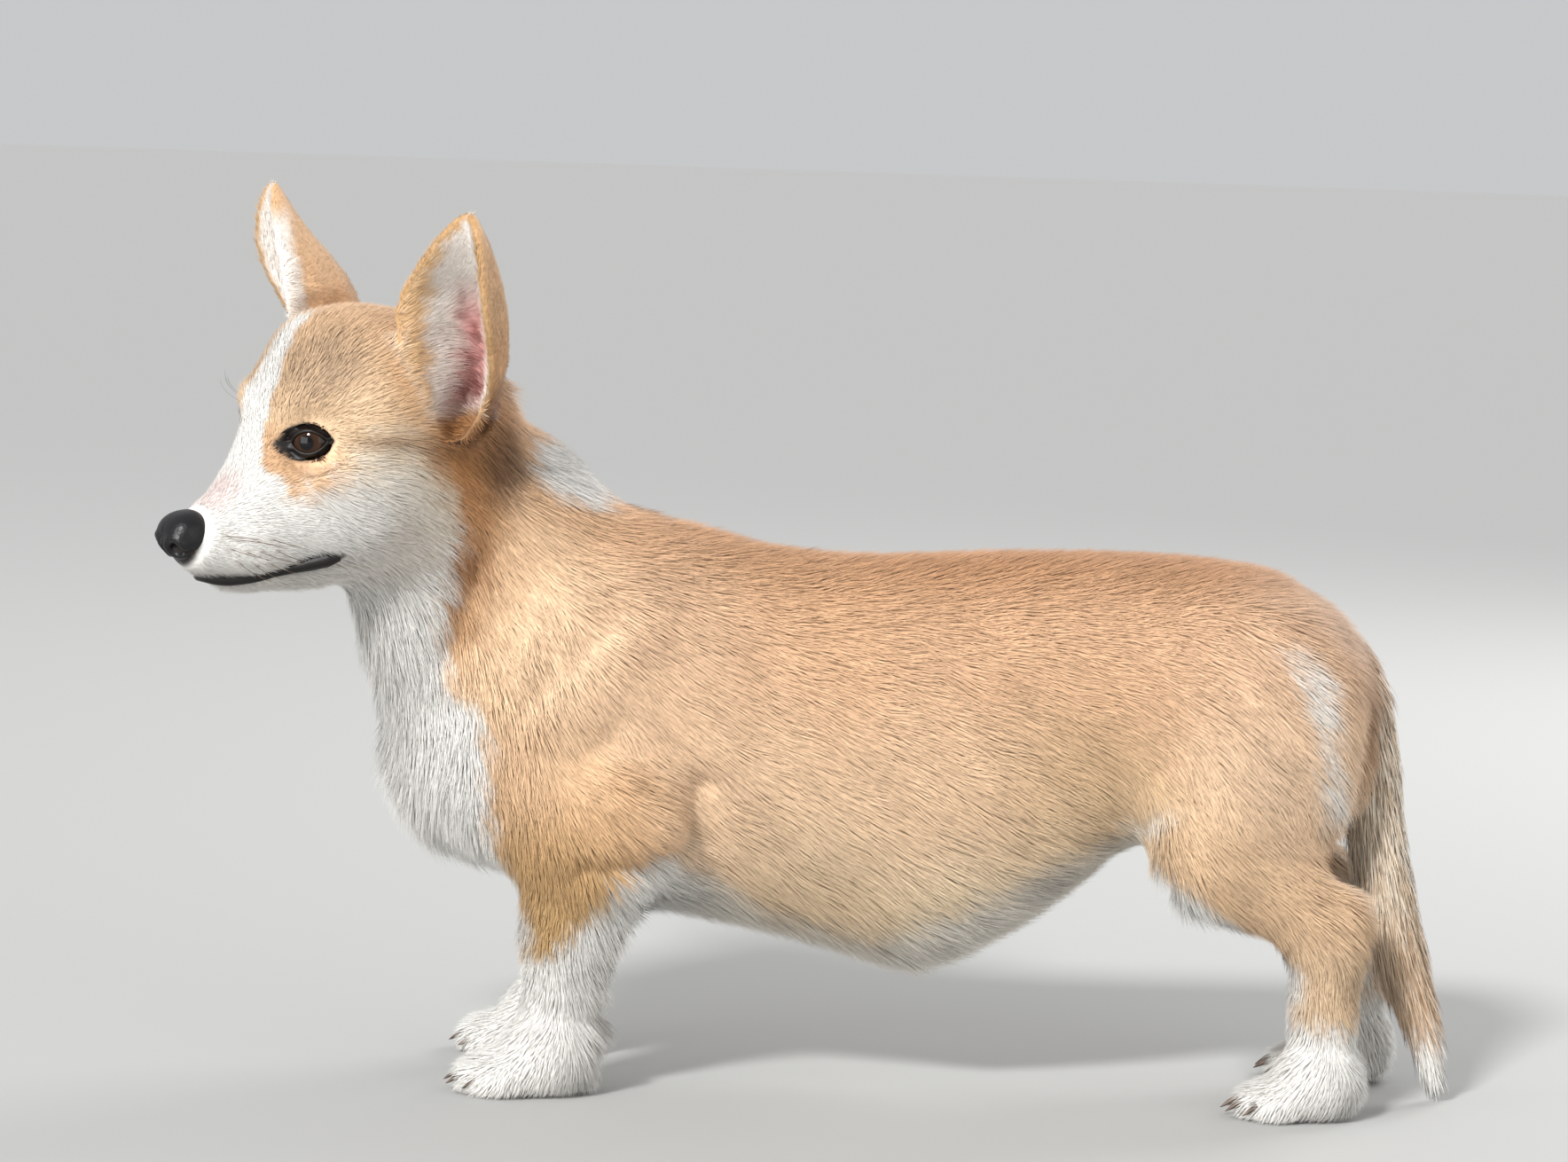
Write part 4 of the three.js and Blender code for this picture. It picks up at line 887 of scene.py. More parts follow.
def ripple(points, size):
    """A smooth, steady unevenness between about -1 and 1, over a distance in millimetres."""
    waves = [((0.9, 0.5, 0.3), 0.0), ((-0.4, 0.8, 0.6), 1.3), ((0.2, -0.6, 0.9), 2.1),
             ((0.7, 0.2, -0.8), 4.0), ((-0.8, -0.3, 0.4), 5.2)]
    total = sum(np.sin(points @ np.array(way) * 6.28 / size * (1 + 0.3 * n) + start)
                for n, (way, start) in enumerate(waves))
    return total / 2.6


def step(distance, soft):
    """0 well below zero and 1 well above it, with a soft change between."""
    t = np.clip(distance / soft * 0.5 + 0.5, 0, 1)
    return t * t * (3 - 2 * t)


def in_patch(points, patch):
    """How far inside an oval patch each place is, in millimetres."""
    centre, size = (np.array(v, float) for v in patch)
    return (1 - np.linalg.norm((points - centre) / size, axis=1)) * size.min()


def lay(colour, field, over):
    """Lays one colour over the others where the field is 1."""
    return colour + (over - colour) * field[:, None]


def ticking(points):
    """1 on the forehead over each eye, where dark hairs are mixed in."""
    return step(in_patch(folded(to_head(points)), BROW_TICKS), 8)


def markings(points, normals, owners):
    """The colour of coat and skin at places in millimetres."""
    places, colours, reaches = GROUND
    colour = np.empty((len(points), 3))
    for part, share in shares(points, places, reaches, fall=3):
        colour[part] = share @ colours
    colour *= (1 + 0.04 * ripple(points, 46) + 0.035 * ripple(points, 17))[:, None]
    ragged = 2.2 * ripple(points, 9) + 1.6 * ripple(points, 23)
    x, y, z = points.T
    head = to_head(points)
    f, l, u = head.T
    half_head = folded(head)
    body_side = y - TAIL_SIDE
    owner_is = {name: np.array([o.startswith(name) for o in owners])
                for name in ("head", "ear", "neck", "torso", "fore", "hind", "tail")}
    on_head = owner_is["head"] | owner_is["ear"]
    trunk = ~on_head & ~owner_is["tail"]

    # Cream and white low down, where the coat faces the floor.
    belly = step(np.interp(x, *zip(*BELLY_EDGE)) - z + 0.8 * ragged, 9) * owner_is["torso"]
    colour = lay(colour, belly * step(100 - x, 20), CREAM + (WHITE - CREAM) * 0.65)
    # A grey patch under the belly: grey hair there, and painted shade of the belly's underside.
    colour = lay(colour, step(in_patch(points, BELLY_SHADE), 5) * 0.45, BELLY_SHADE_GREY)
    # The white front: bib, chest and the inside of the legs.
    bib = step(x - np.interp(z, *zip(*BIB_EDGE)) + ragged, 5) * (trunk & (x > 60))
    colour = lay(colour, bib * step(z - BIB_BOTTOM, 8), WHITE)
    aside = np.abs(body_side)
    brisket = step(BRISKET_WIDTH - aside + ragged, 8) * step(BRISKET_TOP - z, 10)
    brisket *= step(x - BRISKET_BACK, 12)
    colour = lay(colour, brisket * trunk, WHITE)
    inner = step(INSIDE_WIDTH - aside + ragged, 8) * step(INSIDE_TOP - z, 14)
    colour = lay(colour, inner * (owner_is["fore"] | owner_is["hind"]), WHITE)
    back_of_leg = step(np.interp(z, *zip(*FORELEG_EDGE)) - x + ragged, 5)
    colour = lay(colour, back_of_leg * owner_is["fore"], WHITE)
    colour = lay(colour, step(FORE_WHITE_TOP - z + ragged, 6) * owner_is["fore"], WHITE)
    # Hind legs: white paws, a white front edge and the line beside the tail.
    hind_x = x - np.where(body_side < 0, HIND_STEP["right"] * 2.4, 0)
    colour = lay(colour, step(HIND_WHITE_TOP - z + ragged, 5) * owner_is["hind"], WHITE)
    front_edge = np.interp(z, *zip(*HINDLEG_EDGE))
    leading = step(hind_x - front_edge + 10 + ragged * 0.6, 5) * step(HIND_EDGE_TOP - z, 6)
    colour = lay(colour, leading * owner_is["hind"], WHITE)
    buttock = step(along_line(folded(points, TAIL_SIDE), BUTTOCK_LINE) + ragged * 0.8, 5)
    colour = lay(colour, buttock * 0.85 * (~owner_is["tail"]), WHITE)
    nape = step(in_patch(points, NAPE_PATCH) + ragged * 0.8, 4)
    colour = lay(colour, nape * trunk, WHITE)

    # The head: cheeks and muzzle, blaze, ticking on the forehead, dark streak and ears.
    rearward = step(-f - 62, 24)
    cheek = step(np.interp(f, *zip(*CHEEK_EDGE)) - u + ragged * (0.7 + 0.9 * rearward), 5 + 12 * rearward)
    pale = CREAM + (WHITE - CREAM) * step(f + 98 - 0.8 * u, 40)[:, None]
    colour = lay(colour, cheek * on_head, pale)
    blaze = step(np.interp(u, *zip(*BLAZE)) - np.abs(l - BLAZE_SIDE) + ragged * 0.35, 1.8) * (u > -40)
    blaze = blaze * step(f + 75 + ragged, 5)
    colour = lay(colour, blaze * owner_is["head"], WHITE)
    colour = lay(colour, ticking(points) * 0.35 * owner_is["head"], GREY_TICK)
    streak = step(along_line(half_head, EYE_STREAK), 3.5)
    colour = lay(colour, streak * 0.62 * on_head, BROWN * 0.8)
    # Dark fur behind the base of the ear, partly painted shade.
    behind = step(in_patch(half_head, BEHIND_EAR) + ragged * 0.5, 6)
    colour = lay(colour, behind * 0.6, DARK_FUR_AND_SHADE)
    for row_f, row_u in WHISKER_ROOTS:
        dot = 1.0 - np.hypot(f - row_f, u - row_u)
        colour = lay(colour, step(dot, 0.8) * 0.45 * owner_is["head"] * (np.abs(l) > 4), GREY_TICK)
    lip = step(along_line(points, LIP_LINE) + 1.0, 1.4) * owner_is["head"]
    colour = lay(colour, lip, LIP_BLACK)
    colour = lay(colour, step(1 - in_almond(points), 0.3), LIP_BLACK)
    nose_base = step(1 - np.linalg.norm((head - NOSE_CENTRE) / (NOSE_SIZE + 0.2), axis=1), 0.1)
    colour = lay(colour, nose_base, LIP_BLACK)
    bridge = step(in_patch(half_head, NOSE_BRIDGE), 4)
    colour = lay(colour, bridge * 0.3 * owner_is["head"], PINK)
    hollow, to_front, to_deep, to_outer = in_ear(head, normals)
    low, high = OVER_RIM_HEIGHTS
    over_rim = step(OVER_RIM - to_front + 0.4 * ragged, 3) * step(u - low, 10) * step(high - u, 6)
    over_rim *= l < 0
    hollow = np.maximum(hollow, over_rim * owner_is["ear"]) * on_head
    colour = lay(colour, hollow, EAR_PALE)
    low, high = CONCHA_HEIGHTS
    concha = hollow * step(CONCHA_REACH - to_deep + 0.5 * ragged, 5)
    concha = concha * step(u - low, 8) * step(high - u, 12)
    colour = lay(colour, concha * 0.9, PINK)
    # Painted shade: darker pink streaks for the creases inside the ear.
    fold_shade = concha * step(ripple(points * (1, 1, 0.5), 11) - 0.3, 0.5)
    colour = lay(colour, fold_shade * 0.75, EAR_FOLD_SHADE)
    colour = lay(colour, hollow * fringe(u, to_front - 0.8 * ragged) * (l > 0), EAR_FRINGE)
    to_rim = np.minimum(to_front + 30 * (l < 0), to_outer)
    rim = step(RIM_WIDTH - to_rim + 0.15 * ragged, 1.6)
    colour = lay(colour, rim * owner_is["ear"], EAR_RIM)
    # Painted shade: darker brown low on the back of the ear, where it meets the head.
    ear_root_shade = step(in_patch(half_head, EAR_ROOT), 7)
    colour = lay(colour, ear_root_shade * 0.8 * (1 - hollow) * on_head, BROWN * 0.55)

    # The tail: sable, browner low down, with a white tip.
    sable = SABLE * (1 + 0.15 * ripple(points, 14))[:, None]
    colour = lay(colour, owner_is["tail"] * step(TAIL_SABLE - z, 26), sable)
    colour = lay(colour, owner_is["tail"] * step(TAIL_BROWNER - z, 25) * 0.8, TAIL_BROWN)
    colour = lay(colour, owner_is["tail"] * step(TAIL_WHITE - z + ragged * 2, 9), WHITE)
    return np.clip(colour, 0.005, 1)


skin_points = points_of(skin) / MM
skin_normals = unit(np.stack([even_out(column, skin, 3) for column in normals_of(skin).T], 1))
skin_owners = owner_of(points_of(skin))
skin_colours = markings(skin_points, skin_normals, skin_owners)
print("mean colour of the skin:", np.round(skin_colours.mean(0), 2))

# %% [markdown]
# Eyes: a corgi's eye is a dark brown ball, of which an almond shows between black lids. The ball
# bulges a little in front, and keeps at each point how far that lies from the axis of sight, by
# which the iris is painted. The lids follow the ball inside and the skin outside.

# %% Eyes and lids
def eye_frame(s):
    """The centre of an eyeball in metres, the way that it looks, and level and up across it."""
    centre = Vector(from_head([EYE_CENTRE[0], s * EYE_CENTRE[1], EYE_CENTRE[2]])[0]) * MM
    look = Vector((cos(EYE_OUT), s * sin(EYE_OUT), sin(EYE_UP))).normalized()
    level = Vector((0, 0, 1)).cross(look).normalized() * s
    rise = look.cross(level).normalized() * s
    turn = Matrix(HEAD_AXES.tolist())
    return centre, turn @ look, turn @ level, turn @ rise


def shade_softly(piece):
    """Shades the faces of a piece as one smooth surface."""
    only(piece)
    bpy.ops.object.shade_smooth()


def eye(side, s):
    """An eyeball with a slight bulge over the iris."""
    centre, look, level, rise = eye_frame(s)
    bpy.ops.mesh.primitive_uv_sphere_add(segments=48, ring_count=32, radius=EYE_RADIUS * MM)
    ball = bpy.context.object
    ball.name = f"eyeball_{side}"
    turn = Matrix((level * s, rise, look)).transposed()
    points = points_of(ball)
    bulge = 1 + 0.04 * np.clip((points[:, 2] / (EYE_RADIUS * MM) - 0.72) / 0.28, 0, 1) ** 0.5
    points *= bulge[:, None]
    place_points(ball, points @ np.array(turn).T + np.array(centre))
    axis = ball.data.attributes.new("off_axis", "FLOAT", "POINT")
    axis.data.foreach_set("value", np.hypot(points[:, 0], points[:, 1]) / (EYE_RADIUS * MM))
    shade_softly(ball)
    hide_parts(f"eye_{side}")
    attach(ball, "root")
    return ball


def over_skin(place, look):
    """How far along the way of sight from a place the skin is met, looking in from outside."""
    hit = SKIN_TREE.ray_cast(place + look * 40 * MM, -look)
    return FREE if hit[0] is None else (hit[0] - place).dot(look) / MM


def lid_point(s, a, wide, high, shift, over_ball, over_face):
    """A point of a lid ring at one angle, in metres."""
    centre, look, level, rise = eye_frame(s)
    across = wide * cos(a) + shift - LID_PEAK * wide * max(sin(a), 0) ** 2 * abs(cos(a))
    up = high * sin(a) * abs(sin(a)) ** LID_POINT
    across, up = (across * cos(LID_SLANT) - up * sin(LID_SLANT),
                  up * cos(LID_SLANT) + across * sin(LID_SLANT) + LID_RISE)
    ball = max(EYE_RADIUS**2 - across**2 - up**2, 0) ** 0.5 + over_ball
    place = centre + (level * across + rise * up) * MM
    out = ball if over_face == FREE else max(ball, over_skin(place, look) + over_face)
    return place + look * out * MM


def lids(side, s):
    """Both lids as one closed ring of skin, thick at the edge and thin where the hair starts."""
    turn = np.linspace(0, 2 * pi, 48, endpoint=False)
    rings = [[lid_point(s, a, *ring) for a in turn] for ring in LID_RINGS]
    points = [tuple(p) for ring in rings for p in ring]
    count, rows = len(turn), len(rings)
    faces = [(r * count + n, r * count + (n + 1) % count, (r + 1) % rows * count + (n + 1) % count,
              (r + 1) % rows * count + n) for r in range(rows) for n in range(count)]
    mesh = bpy.data.meshes.new(f"lids_{side}")
    mesh.from_pydata(points, [], faces)
    made = in_scene(bpy.data.objects.new(mesh.name, mesh))
    only(made)
    bpy.ops.object.mode_set(mode="EDIT")
    bpy.ops.mesh.select_all(action="SELECT")
    bpy.ops.mesh.normals_make_consistent(inside=False)
    bpy.ops.object.mode_set(mode="OBJECT")
    apply(made, "SUBSURF", levels=2, render_levels=2)
    shade_softly(made)
    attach(made, "root")
    return made


eyes = [eye(side, s) for side, s in SIDES.items()]
lid_pieces = [lids(side, s) for side, s in SIDES.items()]
print("eyes at mm:", [np.round(np.array(eye_frame(s)[0]) / MM) for s in SIDES.values()])

# %% [markdown]
# The nose leather starts as an icosphere and is pressed to shape by its points: broad and round
# above, narrow and running back below, with comma-shaped nostrils, their wings, and the groove
# between them. The solid's own place and size are kept.

# %% Nose
# How much narrower the nose is at the bottom, as a part of its width, and how far its lower and
# upper edges run back.
NOSE_NARROW, NOSE_BACK_BELOW, NOSE_BACK_ABOVE = 0.38, 8.5, 2.0
# How deep the nostril, its slit and the groove are pressed in, and how high the wing stands.
HOLE_DEPTH, SLIT_DEPTH, GROOVE_DEPTH, WING_HEIGHT = 5.0, 2.6, 0.9, 0.8
# A nostril's hole and the end of its slit, as places from the middle of the nose.
NOSTRIL, NOSTRIL_TAIL = np.array([7.4, 5.6, -2.8]), np.array([0.0, 11.0, -5.8])


def nose_points(ball):
    """Points of a unit ball pressed into the shape of a nose, in millimetres in the head's frame."""
    square = 1 / (np.abs(ball) ** 2.5).sum(1) ** (1 / 2.5)
    points = ball * square[:, None] * NOSE_SIZE
    low = np.clip(-points[:, 2] / NOSE_SIZE[2], 0, 1)
    points[:, 1] *= 1 - NOSE_NARROW * low**1.3
    points[:, 0] -= NOSE_BACK_BELOW * np.clip(low - 0.08, 0, 1) ** 1.3
    points[:, 0] -= NOSE_BACK_ABOVE * np.clip(points[:, 2] / NOSE_SIZE[2], 0, 1) ** 3
    fold = folded(points)
    hole = np.linalg.norm((fold - NOSTRIL) / (1, 1, 1.15), axis=1)
    slit = -along_line(fold, [(NOSTRIL, 0), (NOSTRIL_TAIL, 0)])
    press = HOLE_DEPTH * np.exp(-((hole / 2.6) ** 4)) + SLIT_DEPTH * np.exp(-((slit / 1.3) ** 2))
    press -= WING_HEIGHT * np.exp(-(((hole - 4.5) / 1.3) ** 2))
    in_front = step(points[:, 0] - 1, 3) * step(4 - points[:, 2], 4)
    press += GROOVE_DEPTH * (np.exp(-((points[:, 1] / 0.6) ** 2)) * in_front)
    return points - unit(points) * press[:, None]


def nose_leather():
    """The nose, with its nostrils and the groove between them."""
    bpy.ops.mesh.primitive_ico_sphere_add(subdivisions=6, radius=1)
    made = bpy.context.object
    made.name = "nose_leather"
    place_points(made, from_head(nose_points(points_of(made)) + NOSE_CENTRE) * MM)
    shade_softly(made)
    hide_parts("nose")
    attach(made, "root")
    return made


nose = nose_leather()
NOSE_TREE = tree_of(nose)
print("nose faces:", len(nose.data.polygons))

# %% [markdown]
# The claws have their shape in the solids already, but faceted. A copy of each is merged and
# subdivided, which keeps its place and its outline. Subdivision draws it in a little, so the
# copy is swollen first.

# %% Claws
CLAW_SWELL = 0.25


def claw(node):
    """A claw, rounded from the few faces of its solid."""
    made = copy_of(node, CLAW_SWELL)
    made.name = node.replace("_claw_", "_nail_")
    apply(made, "SUBSURF", levels=2, render_levels=2)
    shade_softly(made)
    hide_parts(node)
    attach(made, "root")
    return made


claws = [claw(node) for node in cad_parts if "claw" in node]
print("claws:", len(claws))

# %% [markdown]
# The lips are a dark edge of bare skin along the mouth, thick in front and at the corner. They
# are a tube that lies half in the skin, with a radius at each point of the line.

# %% Lips
def lips():
    """The dark edge of the lips, from one corner of the mouth round the front to the other."""
    radii = [r for *_, r in reversed(MOUTH_FRONT)] + [r for *_, r in MOUTH_SIDE]
    path = np.array(mouth_line(1)[::-1] + mouth_line(-1))
    fine = np.linspace(0, len(path) - 1, 90)
    path = between(fine, range(len(path)), path)
    radii = np.interp(fine, range(len(radii) * 2), radii[::-1] + radii)
    for _ in range(8):
        path[1:-1] = (path[:-2] + 2 * path[1:-1] + path[2:]) / 4
    made = tube("lips", path, radii, rounding=3)
    bpy.ops.object.shade_smooth()
    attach(made, "root")
    return made


lip_edge = lips()
print("lip faces:", len(lip_edge.data.polygons))

# %% [markdown]
# The coat. A tuft is a closed spindle of three sides that leaves the skin at a low angle and runs
# out to a point. Long ones also bend on the way. Thousands of them are made at once as arrays of
# numbers, which is the way to make hair that is solid mesh. Each has one colour, a little darker
# at its root and lighter at its tip.

# %% Tufts as arrays
chance = np.random.default_rng(5)
# How much of a tuft's shading comes from the skin under it.
NEAR_NORMAL = 0.85
# A root starts this far under the skin, and no hair comes nearer to the floor than the gap.
ROOT_SINK, FLOOR_GAP = 0.6, 0.2
# How much narrower a tuft gets on its way, and how high its ridge is, as a part of its width.
TAPER, RIDGE = 0.35, 0.32
# The colour's strength at the root, halfway and at the tip.
TONES = [0.94, 1.0, 1.03]
# The side of the patch that a tuft takes up in the unwrap.
PATCH = 0.003


def tuft_mesh(name, roots, normals, ways, lengths, depths, widths, colours, spots, bends=0):
    """One mesh of many tufts. `bends` is how many rings lie between the root and the tip."""
    count = len(roots)
    across = unit(np.cross(normals, ways))
    steps = np.linspace(0, 1, bends + 2)
    rings = []
    for k in steps[:-1]:
        rise = -ROOT_SINK + (depths + ROOT_SINK) * (1 - (1 - k) ** 2.2)
        centre = roots + ways * (lengths * k)[:, None] + normals * rise[:, None]
        half = (widths * (1 - TAPER * k) / 2)[:, None]
        ridge = (widths * RIDGE * (1 - 0.5 * k))[:, None]
        rings.append(np.stack([centre + across * half, centre - across * half,
                               centre + normals * ridge], 1))
    tip = roots + ways * lengths[:, None] + normals * depths[:, None]
    points = np.concatenate([*rings, tip[:, None]], 1)
    points[..., 2] = np.maximum(points[..., 2], FLOOR_GAP)
    each = points.shape[1]
    faces = [(0, 2, 1)]
    for ring in range(bends):
        a = 3 * ring
        for p, q in ((0, 1), (1, 2), (2, 0)):
            faces += [(a + p, a + q, a + 3 + q), (a + p, a + 3 + q, a + 3 + p)]
    last = 3 * bends
    faces += [(last, last + 1, each - 1), (last + 1, last + 2, each - 1), (last + 2, last, each - 1)]
    faces = np.array(faces)[:, ::-1]
    triangles = (faces[None] + np.arange(count)[:, None, None] * each).reshape(-1, 3)
    mesh = bpy.data.meshes.new(name)
    mesh.vertices.add(count * each)
    mesh.vertices.foreach_set("co", (points * MM).astype(np.float32).ravel())
    mesh.loops.add(len(triangles) * 3)
    mesh.loops.foreach_set("vertex_index", triangles.astype(np.int32).ravel())
    mesh.polygons.add(len(triangles))
    mesh.polygons.foreach_set("loop_start", np.arange(0, len(triangles) * 3, 3, dtype=np.int32))
    mesh.update(calc_edges=True)
    shade = np.concatenate([np.repeat(steps[:-1], 3), [1.0]])
    tone = np.interp(shade, [0, 0.5, 1], TONES)
    vertex_colours = np.ones((count, each, 4), np.float32)
    vertex_colours[..., :3] = colours[:, None] * tone[None, :, None]
    layer = mesh.attributes.new("shade", "FLOAT_COLOR", "POINT")
    layer.data.foreach_set("color", vertex_colours.ravel())
    beside = np.tile([0, PATCH / 2, PATCH / 4], bends + 1)
    patch = np.stack([beside, np.repeat(steps[:-1], 3) * PATCH], 1)
    patch = np.vstack([patch, [PATCH / 4, PATCH]])
    unwrap = mesh.uv_layers.new(name="OFBake")
    corner_uv = (spots[:, None] + patch[None]).reshape(-1, 2)[triangles.ravel()]
    unwrap.data.foreach_set("uv", corner_uv.astype(np.float32).ravel())
    mesh.polygons.foreach_set("use_smooth", np.ones(len(triangles), bool))
    own = numbers_of(mesh.vertices, "normal", 3)
    soft = unit(own * (1 - NEAR_NORMAL) + np.repeat(normals, each, 0) * NEAR_NORMAL)
    mesh.normals_split_custom_set_from_vertices(soft.astype(np.float32))
    return in_scene(bpy.data.objects.new(name, mesh))


# %% [markdown]
# Roots are strewn over the skin's triangles by area, thicker where tufts are short. Each part of
# the body is a coat piece of its own. Its unwrap is taken from the part's own shape: along its
# axis one way, and round the axis the other way.

# %% Growing the coat
# The head's axis, from inside the skull to the nose.
HEAD_LINE = ((180, 20, 245), (270, 76, 229))
# For each coat piece: how the names of its solids start, how many tufts it has, how wide they
# are, the axis for its unwrap as two points, and which part of the solids it covers: a side of
# the head, or the trunk between two values of x.
COAT = {
    "coat_trunk_front": ("torso", 49000, 0.58, ((120, -14, 150), (-30, -14, 150)), (20, 400)),
    "coat_trunk_middle": ("torso", 49000, 0.58, ((40, -14, 150), (-90, -14, 150)), (-95, 20)),
    "coat_trunk_rear": ("torso", 46000, 0.58, ((-90, -14, 160), (-250, -14, 160)), (-400, -95)),
    "coat_neck": ("neck", 36000, 0.62, ((90, -14, 180), (190, 30, 250)), None),
    "coat_head_left": ("head", 38000, 0.5, HEAD_LINE, "left"),
    "coat_head_right": ("head", 28000, 0.55, HEAD_LINE, "right"),
    "coat_ear_left": ("ear_left", 12000, 0.5, ((140, 60, 275), (160, 70, 360)), None),
    "coat_ear_right": ("ear_right", 10000, 0.5, ((205, -15, 280), (225, -10, 368)), None),
    "coat_foreleg_left": ("foreleg_left", 17000, 0.58, ((100, 32, 160), (104, 32, 20)), None),
    "coat_foreleg_right": ("foreleg_right", 13000, 0.7, ((100, -60, 160), (104, -60, 20)), None),
    "coat_hindleg_left": ("hindleg_left", 21000, 0.6, ((-190, 32, 180), (-210, 32, 20)), None),
    "coat_hindleg_right": ("hindleg_right", 15000, 0.72, ((-200, -60, 180), (-230, -60, 20)), None),
    "coat_paws_fore": ("forepaw", 12000, 0.6, ((110, -14, 30), (112, -14, 0)), None),
    "coat_paws_hind": ("hindpaw", 10000, 0.6, ((-208, -14, 30), (-206, -14, 0)), None),
}
# No hair grows nearer to the nose leather than this.
NOSE_EDGE = 1.2
# Round the eyes and the nose the hair is turned outward: the centre, and the distances within
# which it is turned in full and past which it isn't turned at all. The turning is this strong.
PARTING = 1.6
PARTINGS = [(EYE_CENTRE, 12, 19), (tuple(NOSE_CENTRE), 10, 18)]
triangle_points = triangles_of(skin)
corners = skin_points[triangle_points]
triangle_middles = corners.mean(1)
triangle_areas = np.linalg.norm(
    np.cross(corners[:, 1] - corners[:, 0], corners[:, 2] - corners[:, 0]), axis=1) / 2
triangle_owner = skin_owners[triangle_points[:, 0]]


def bare(points):
    """True where no hair grows: the eyes, the nose leather, the lips and the undersides of paws."""
    head = to_head(points)
    nose_zone = np.linalg.norm((head - NOSE_CENTRE) / (NOSE_SIZE + 0.8), axis=1) < 1
    for n in np.flatnonzero(head[:, 0] > MUZZLE_CORE):
        place = Vector(points[n]) * MM
        near, out, _, far = NOSE_TREE.find_nearest(place)
        nose_zone[n] |= far < NOSE_EDGE * MM or (place - near).dot(out) < 0
    lip_zone = along_line(points, LIP_LINE) > -0.5
    return (in_almond(points) < 1) | nose_zone | lip_zone | (points[:, 2] < 1.5)


def strew(chosen, count):
    """Roots over the chosen triangles of the skin, as triangle numbers and places in them."""
    share = np.cumsum(triangle_areas[chosen])
    picks = (np.arange(count) + chance.random(count)) / count * share[-1]
    found = chosen[np.minimum(np.searchsorted(share, picks), len(chosen) - 1)]
    a, b = chance.random((2, count))
    flip = a + b > 1
    a, b = np.where(flip, 1 - a, a), np.where(flip, 1 - b, b)
    return found, np.stack([1 - a - b, a, b], 1)


def unwrap(points, axis):
    """Places on a plane: how far along the axis, and the angle about it, both from 0 to 1."""
    start, end = (np.array(p, float) for p in axis)
    along = unit((end - start)[None])[0]
    over = unit(np.cross(along, [0.3, 1, 0.2])[None])[0]
    beside = np.cross(along, over)
    off = points - start
    distance = off @ along
    distance = (distance - distance.min()) / max(np.ptp(distance), 1e-6)
    angle = np.arctan2(off @ over, off @ beside) / (2 * pi) + 0.5
    return np.stack([distance, angle], 1) * 0.996


def parted(points, way):
    """The way of the hair, turned outward round the eyes and the nose leather."""
    for centre, inner, outer in PARTINGS:
        for s in SIDES.values():
            away = points - from_head([centre[0], s * centre[1], centre[2]])
            far = np.linalg.norm(away, axis=1)
            share = np.clip((outer - far) / (outer - inner), 0, 1)
            way = way + unit(away) * (PARTING * share)[:, None]
    return way


def along_skin(ways, normals):
    """The ways laid flat on the skin, at length 1."""
    return unit(ways - (ways * normals).sum(1, keepdims=True) * normals)


def grow(name, solids, count, width, axis, part):
    """One coat piece over the parts of the skin that lie under these solids."""
    mine = np.char.startswith(triangle_owner, solids)
    if part in ("left", "right"):
        mine &= (to_head(triangle_middles)[:, 1] >= 0) == (part == "left")
    elif part:
        mine &= (triangle_middles[:, 0] >= part[0]) & (triangle_middles[:, 0] < part[1])
    found, inside = strew(np.flatnonzero(mine), count)
    vertices = triangle_points[found]
    roots = (skin_points[vertices] * inside[..., None]).sum(1)
    normals = unit((skin_normals[vertices] * inside[..., None]).sum(1))
    kept = ~bare(roots)
    roots, normals, found = roots[kept], normals[kept], found[kept]
    count = len(roots)
    way, depth, length = coat_at(roots)
    if name.startswith("coat_ear"):
        hollow, *_ = in_ear(to_head(roots), normals)
        s = 1 if name.endswith("left") else -1
        way = way + hollow[:, None] * (HEAD_AXES @ np.array((-0.8, 0.5 * s, 0.6)))
        near_tip = step(roots[:, 2] - roots[:, 2].max() + 12, 10)
        length = (4.0 + 3.0 * hollow) * (1 - 0.5 * near_tip)
        depth = (1.0 + 1.0 * hollow) * (1 - 0.5 * near_tip)
    way = parted(roots, unit(way)) + 0.10 * chance.normal(size=(count, 3))
    sway = 0.15 * ripple(roots, 37) + 0.10 * ripple(roots, 11)
    ways = along_skin(way, normals)
    ways = unit(ways + sway[:, None] * np.cross(normals, ways))
    lengths = length * chance.uniform(0.75, 1.15, count)
    # The colour is read a little way along the tuft, because that is where the tuft is seen.
    seen = roots + ways * (0.45 * length)[:, None]
    colours = markings(seen, normals, triangle_owner[found])
    depths = depth * chance.uniform(0.50, 1.0, count) * (1 + 0.12 * ripple(roots, 14))
    widths = width * chance.uniform(0.7, 1.2, count)
    # Tufts differ a little in tone, and among the fawn ones some on the back and brow are dark.
    tone = np.clip(1 + 0.06 * chance.normal(size=count), 0.8, 1.2)
    pale = np.clip(colours.min(1) * 1.6, 0, 1)
    risk = (0.05 + 0.07 * step(roots[:, 2] - 212, 14)) * (1 - pale)
    ticked = ticking(roots) * name.startswith("coat_head")
    risk = np.maximum(risk, 0.40 * ticked * (1 - pale))
    tone = np.where(chance.random(count) < risk, tone * (0.68 - 0.14 * ticked), tone)
    made = tuft_mesh(name, roots, normals, ways, lengths, depths, widths,
                     np.clip(colours * tone[:, None], 0, 1), unwrap(roots, axis))
    "coat_white" if "paws" in name else "coat"
    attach(made, "root")
    return made


coat = [grow(name, *row) for name, row in COAT.items()]
print("coat faces:", sum(len(piece.data.polygons) for piece in coat))

# %% [markdown]
# The tail carries long hair. Its tufts are much longer and bend twice. They start at places drawn
# at random down the tail, few and short ones at its root, and they lie over each other like
# thatch and run out past the tip.

# %% The tail's coat
TAIL_LINE = np.array([(x, TAIL_SIDE, z) for x, z, _ in TAIL_CORE] + [(-265, TAIL_SIDE, 5)], float)
TAIL_RADII = np.array([radius for *_, radius in TAIL_CORE] + [1.0])
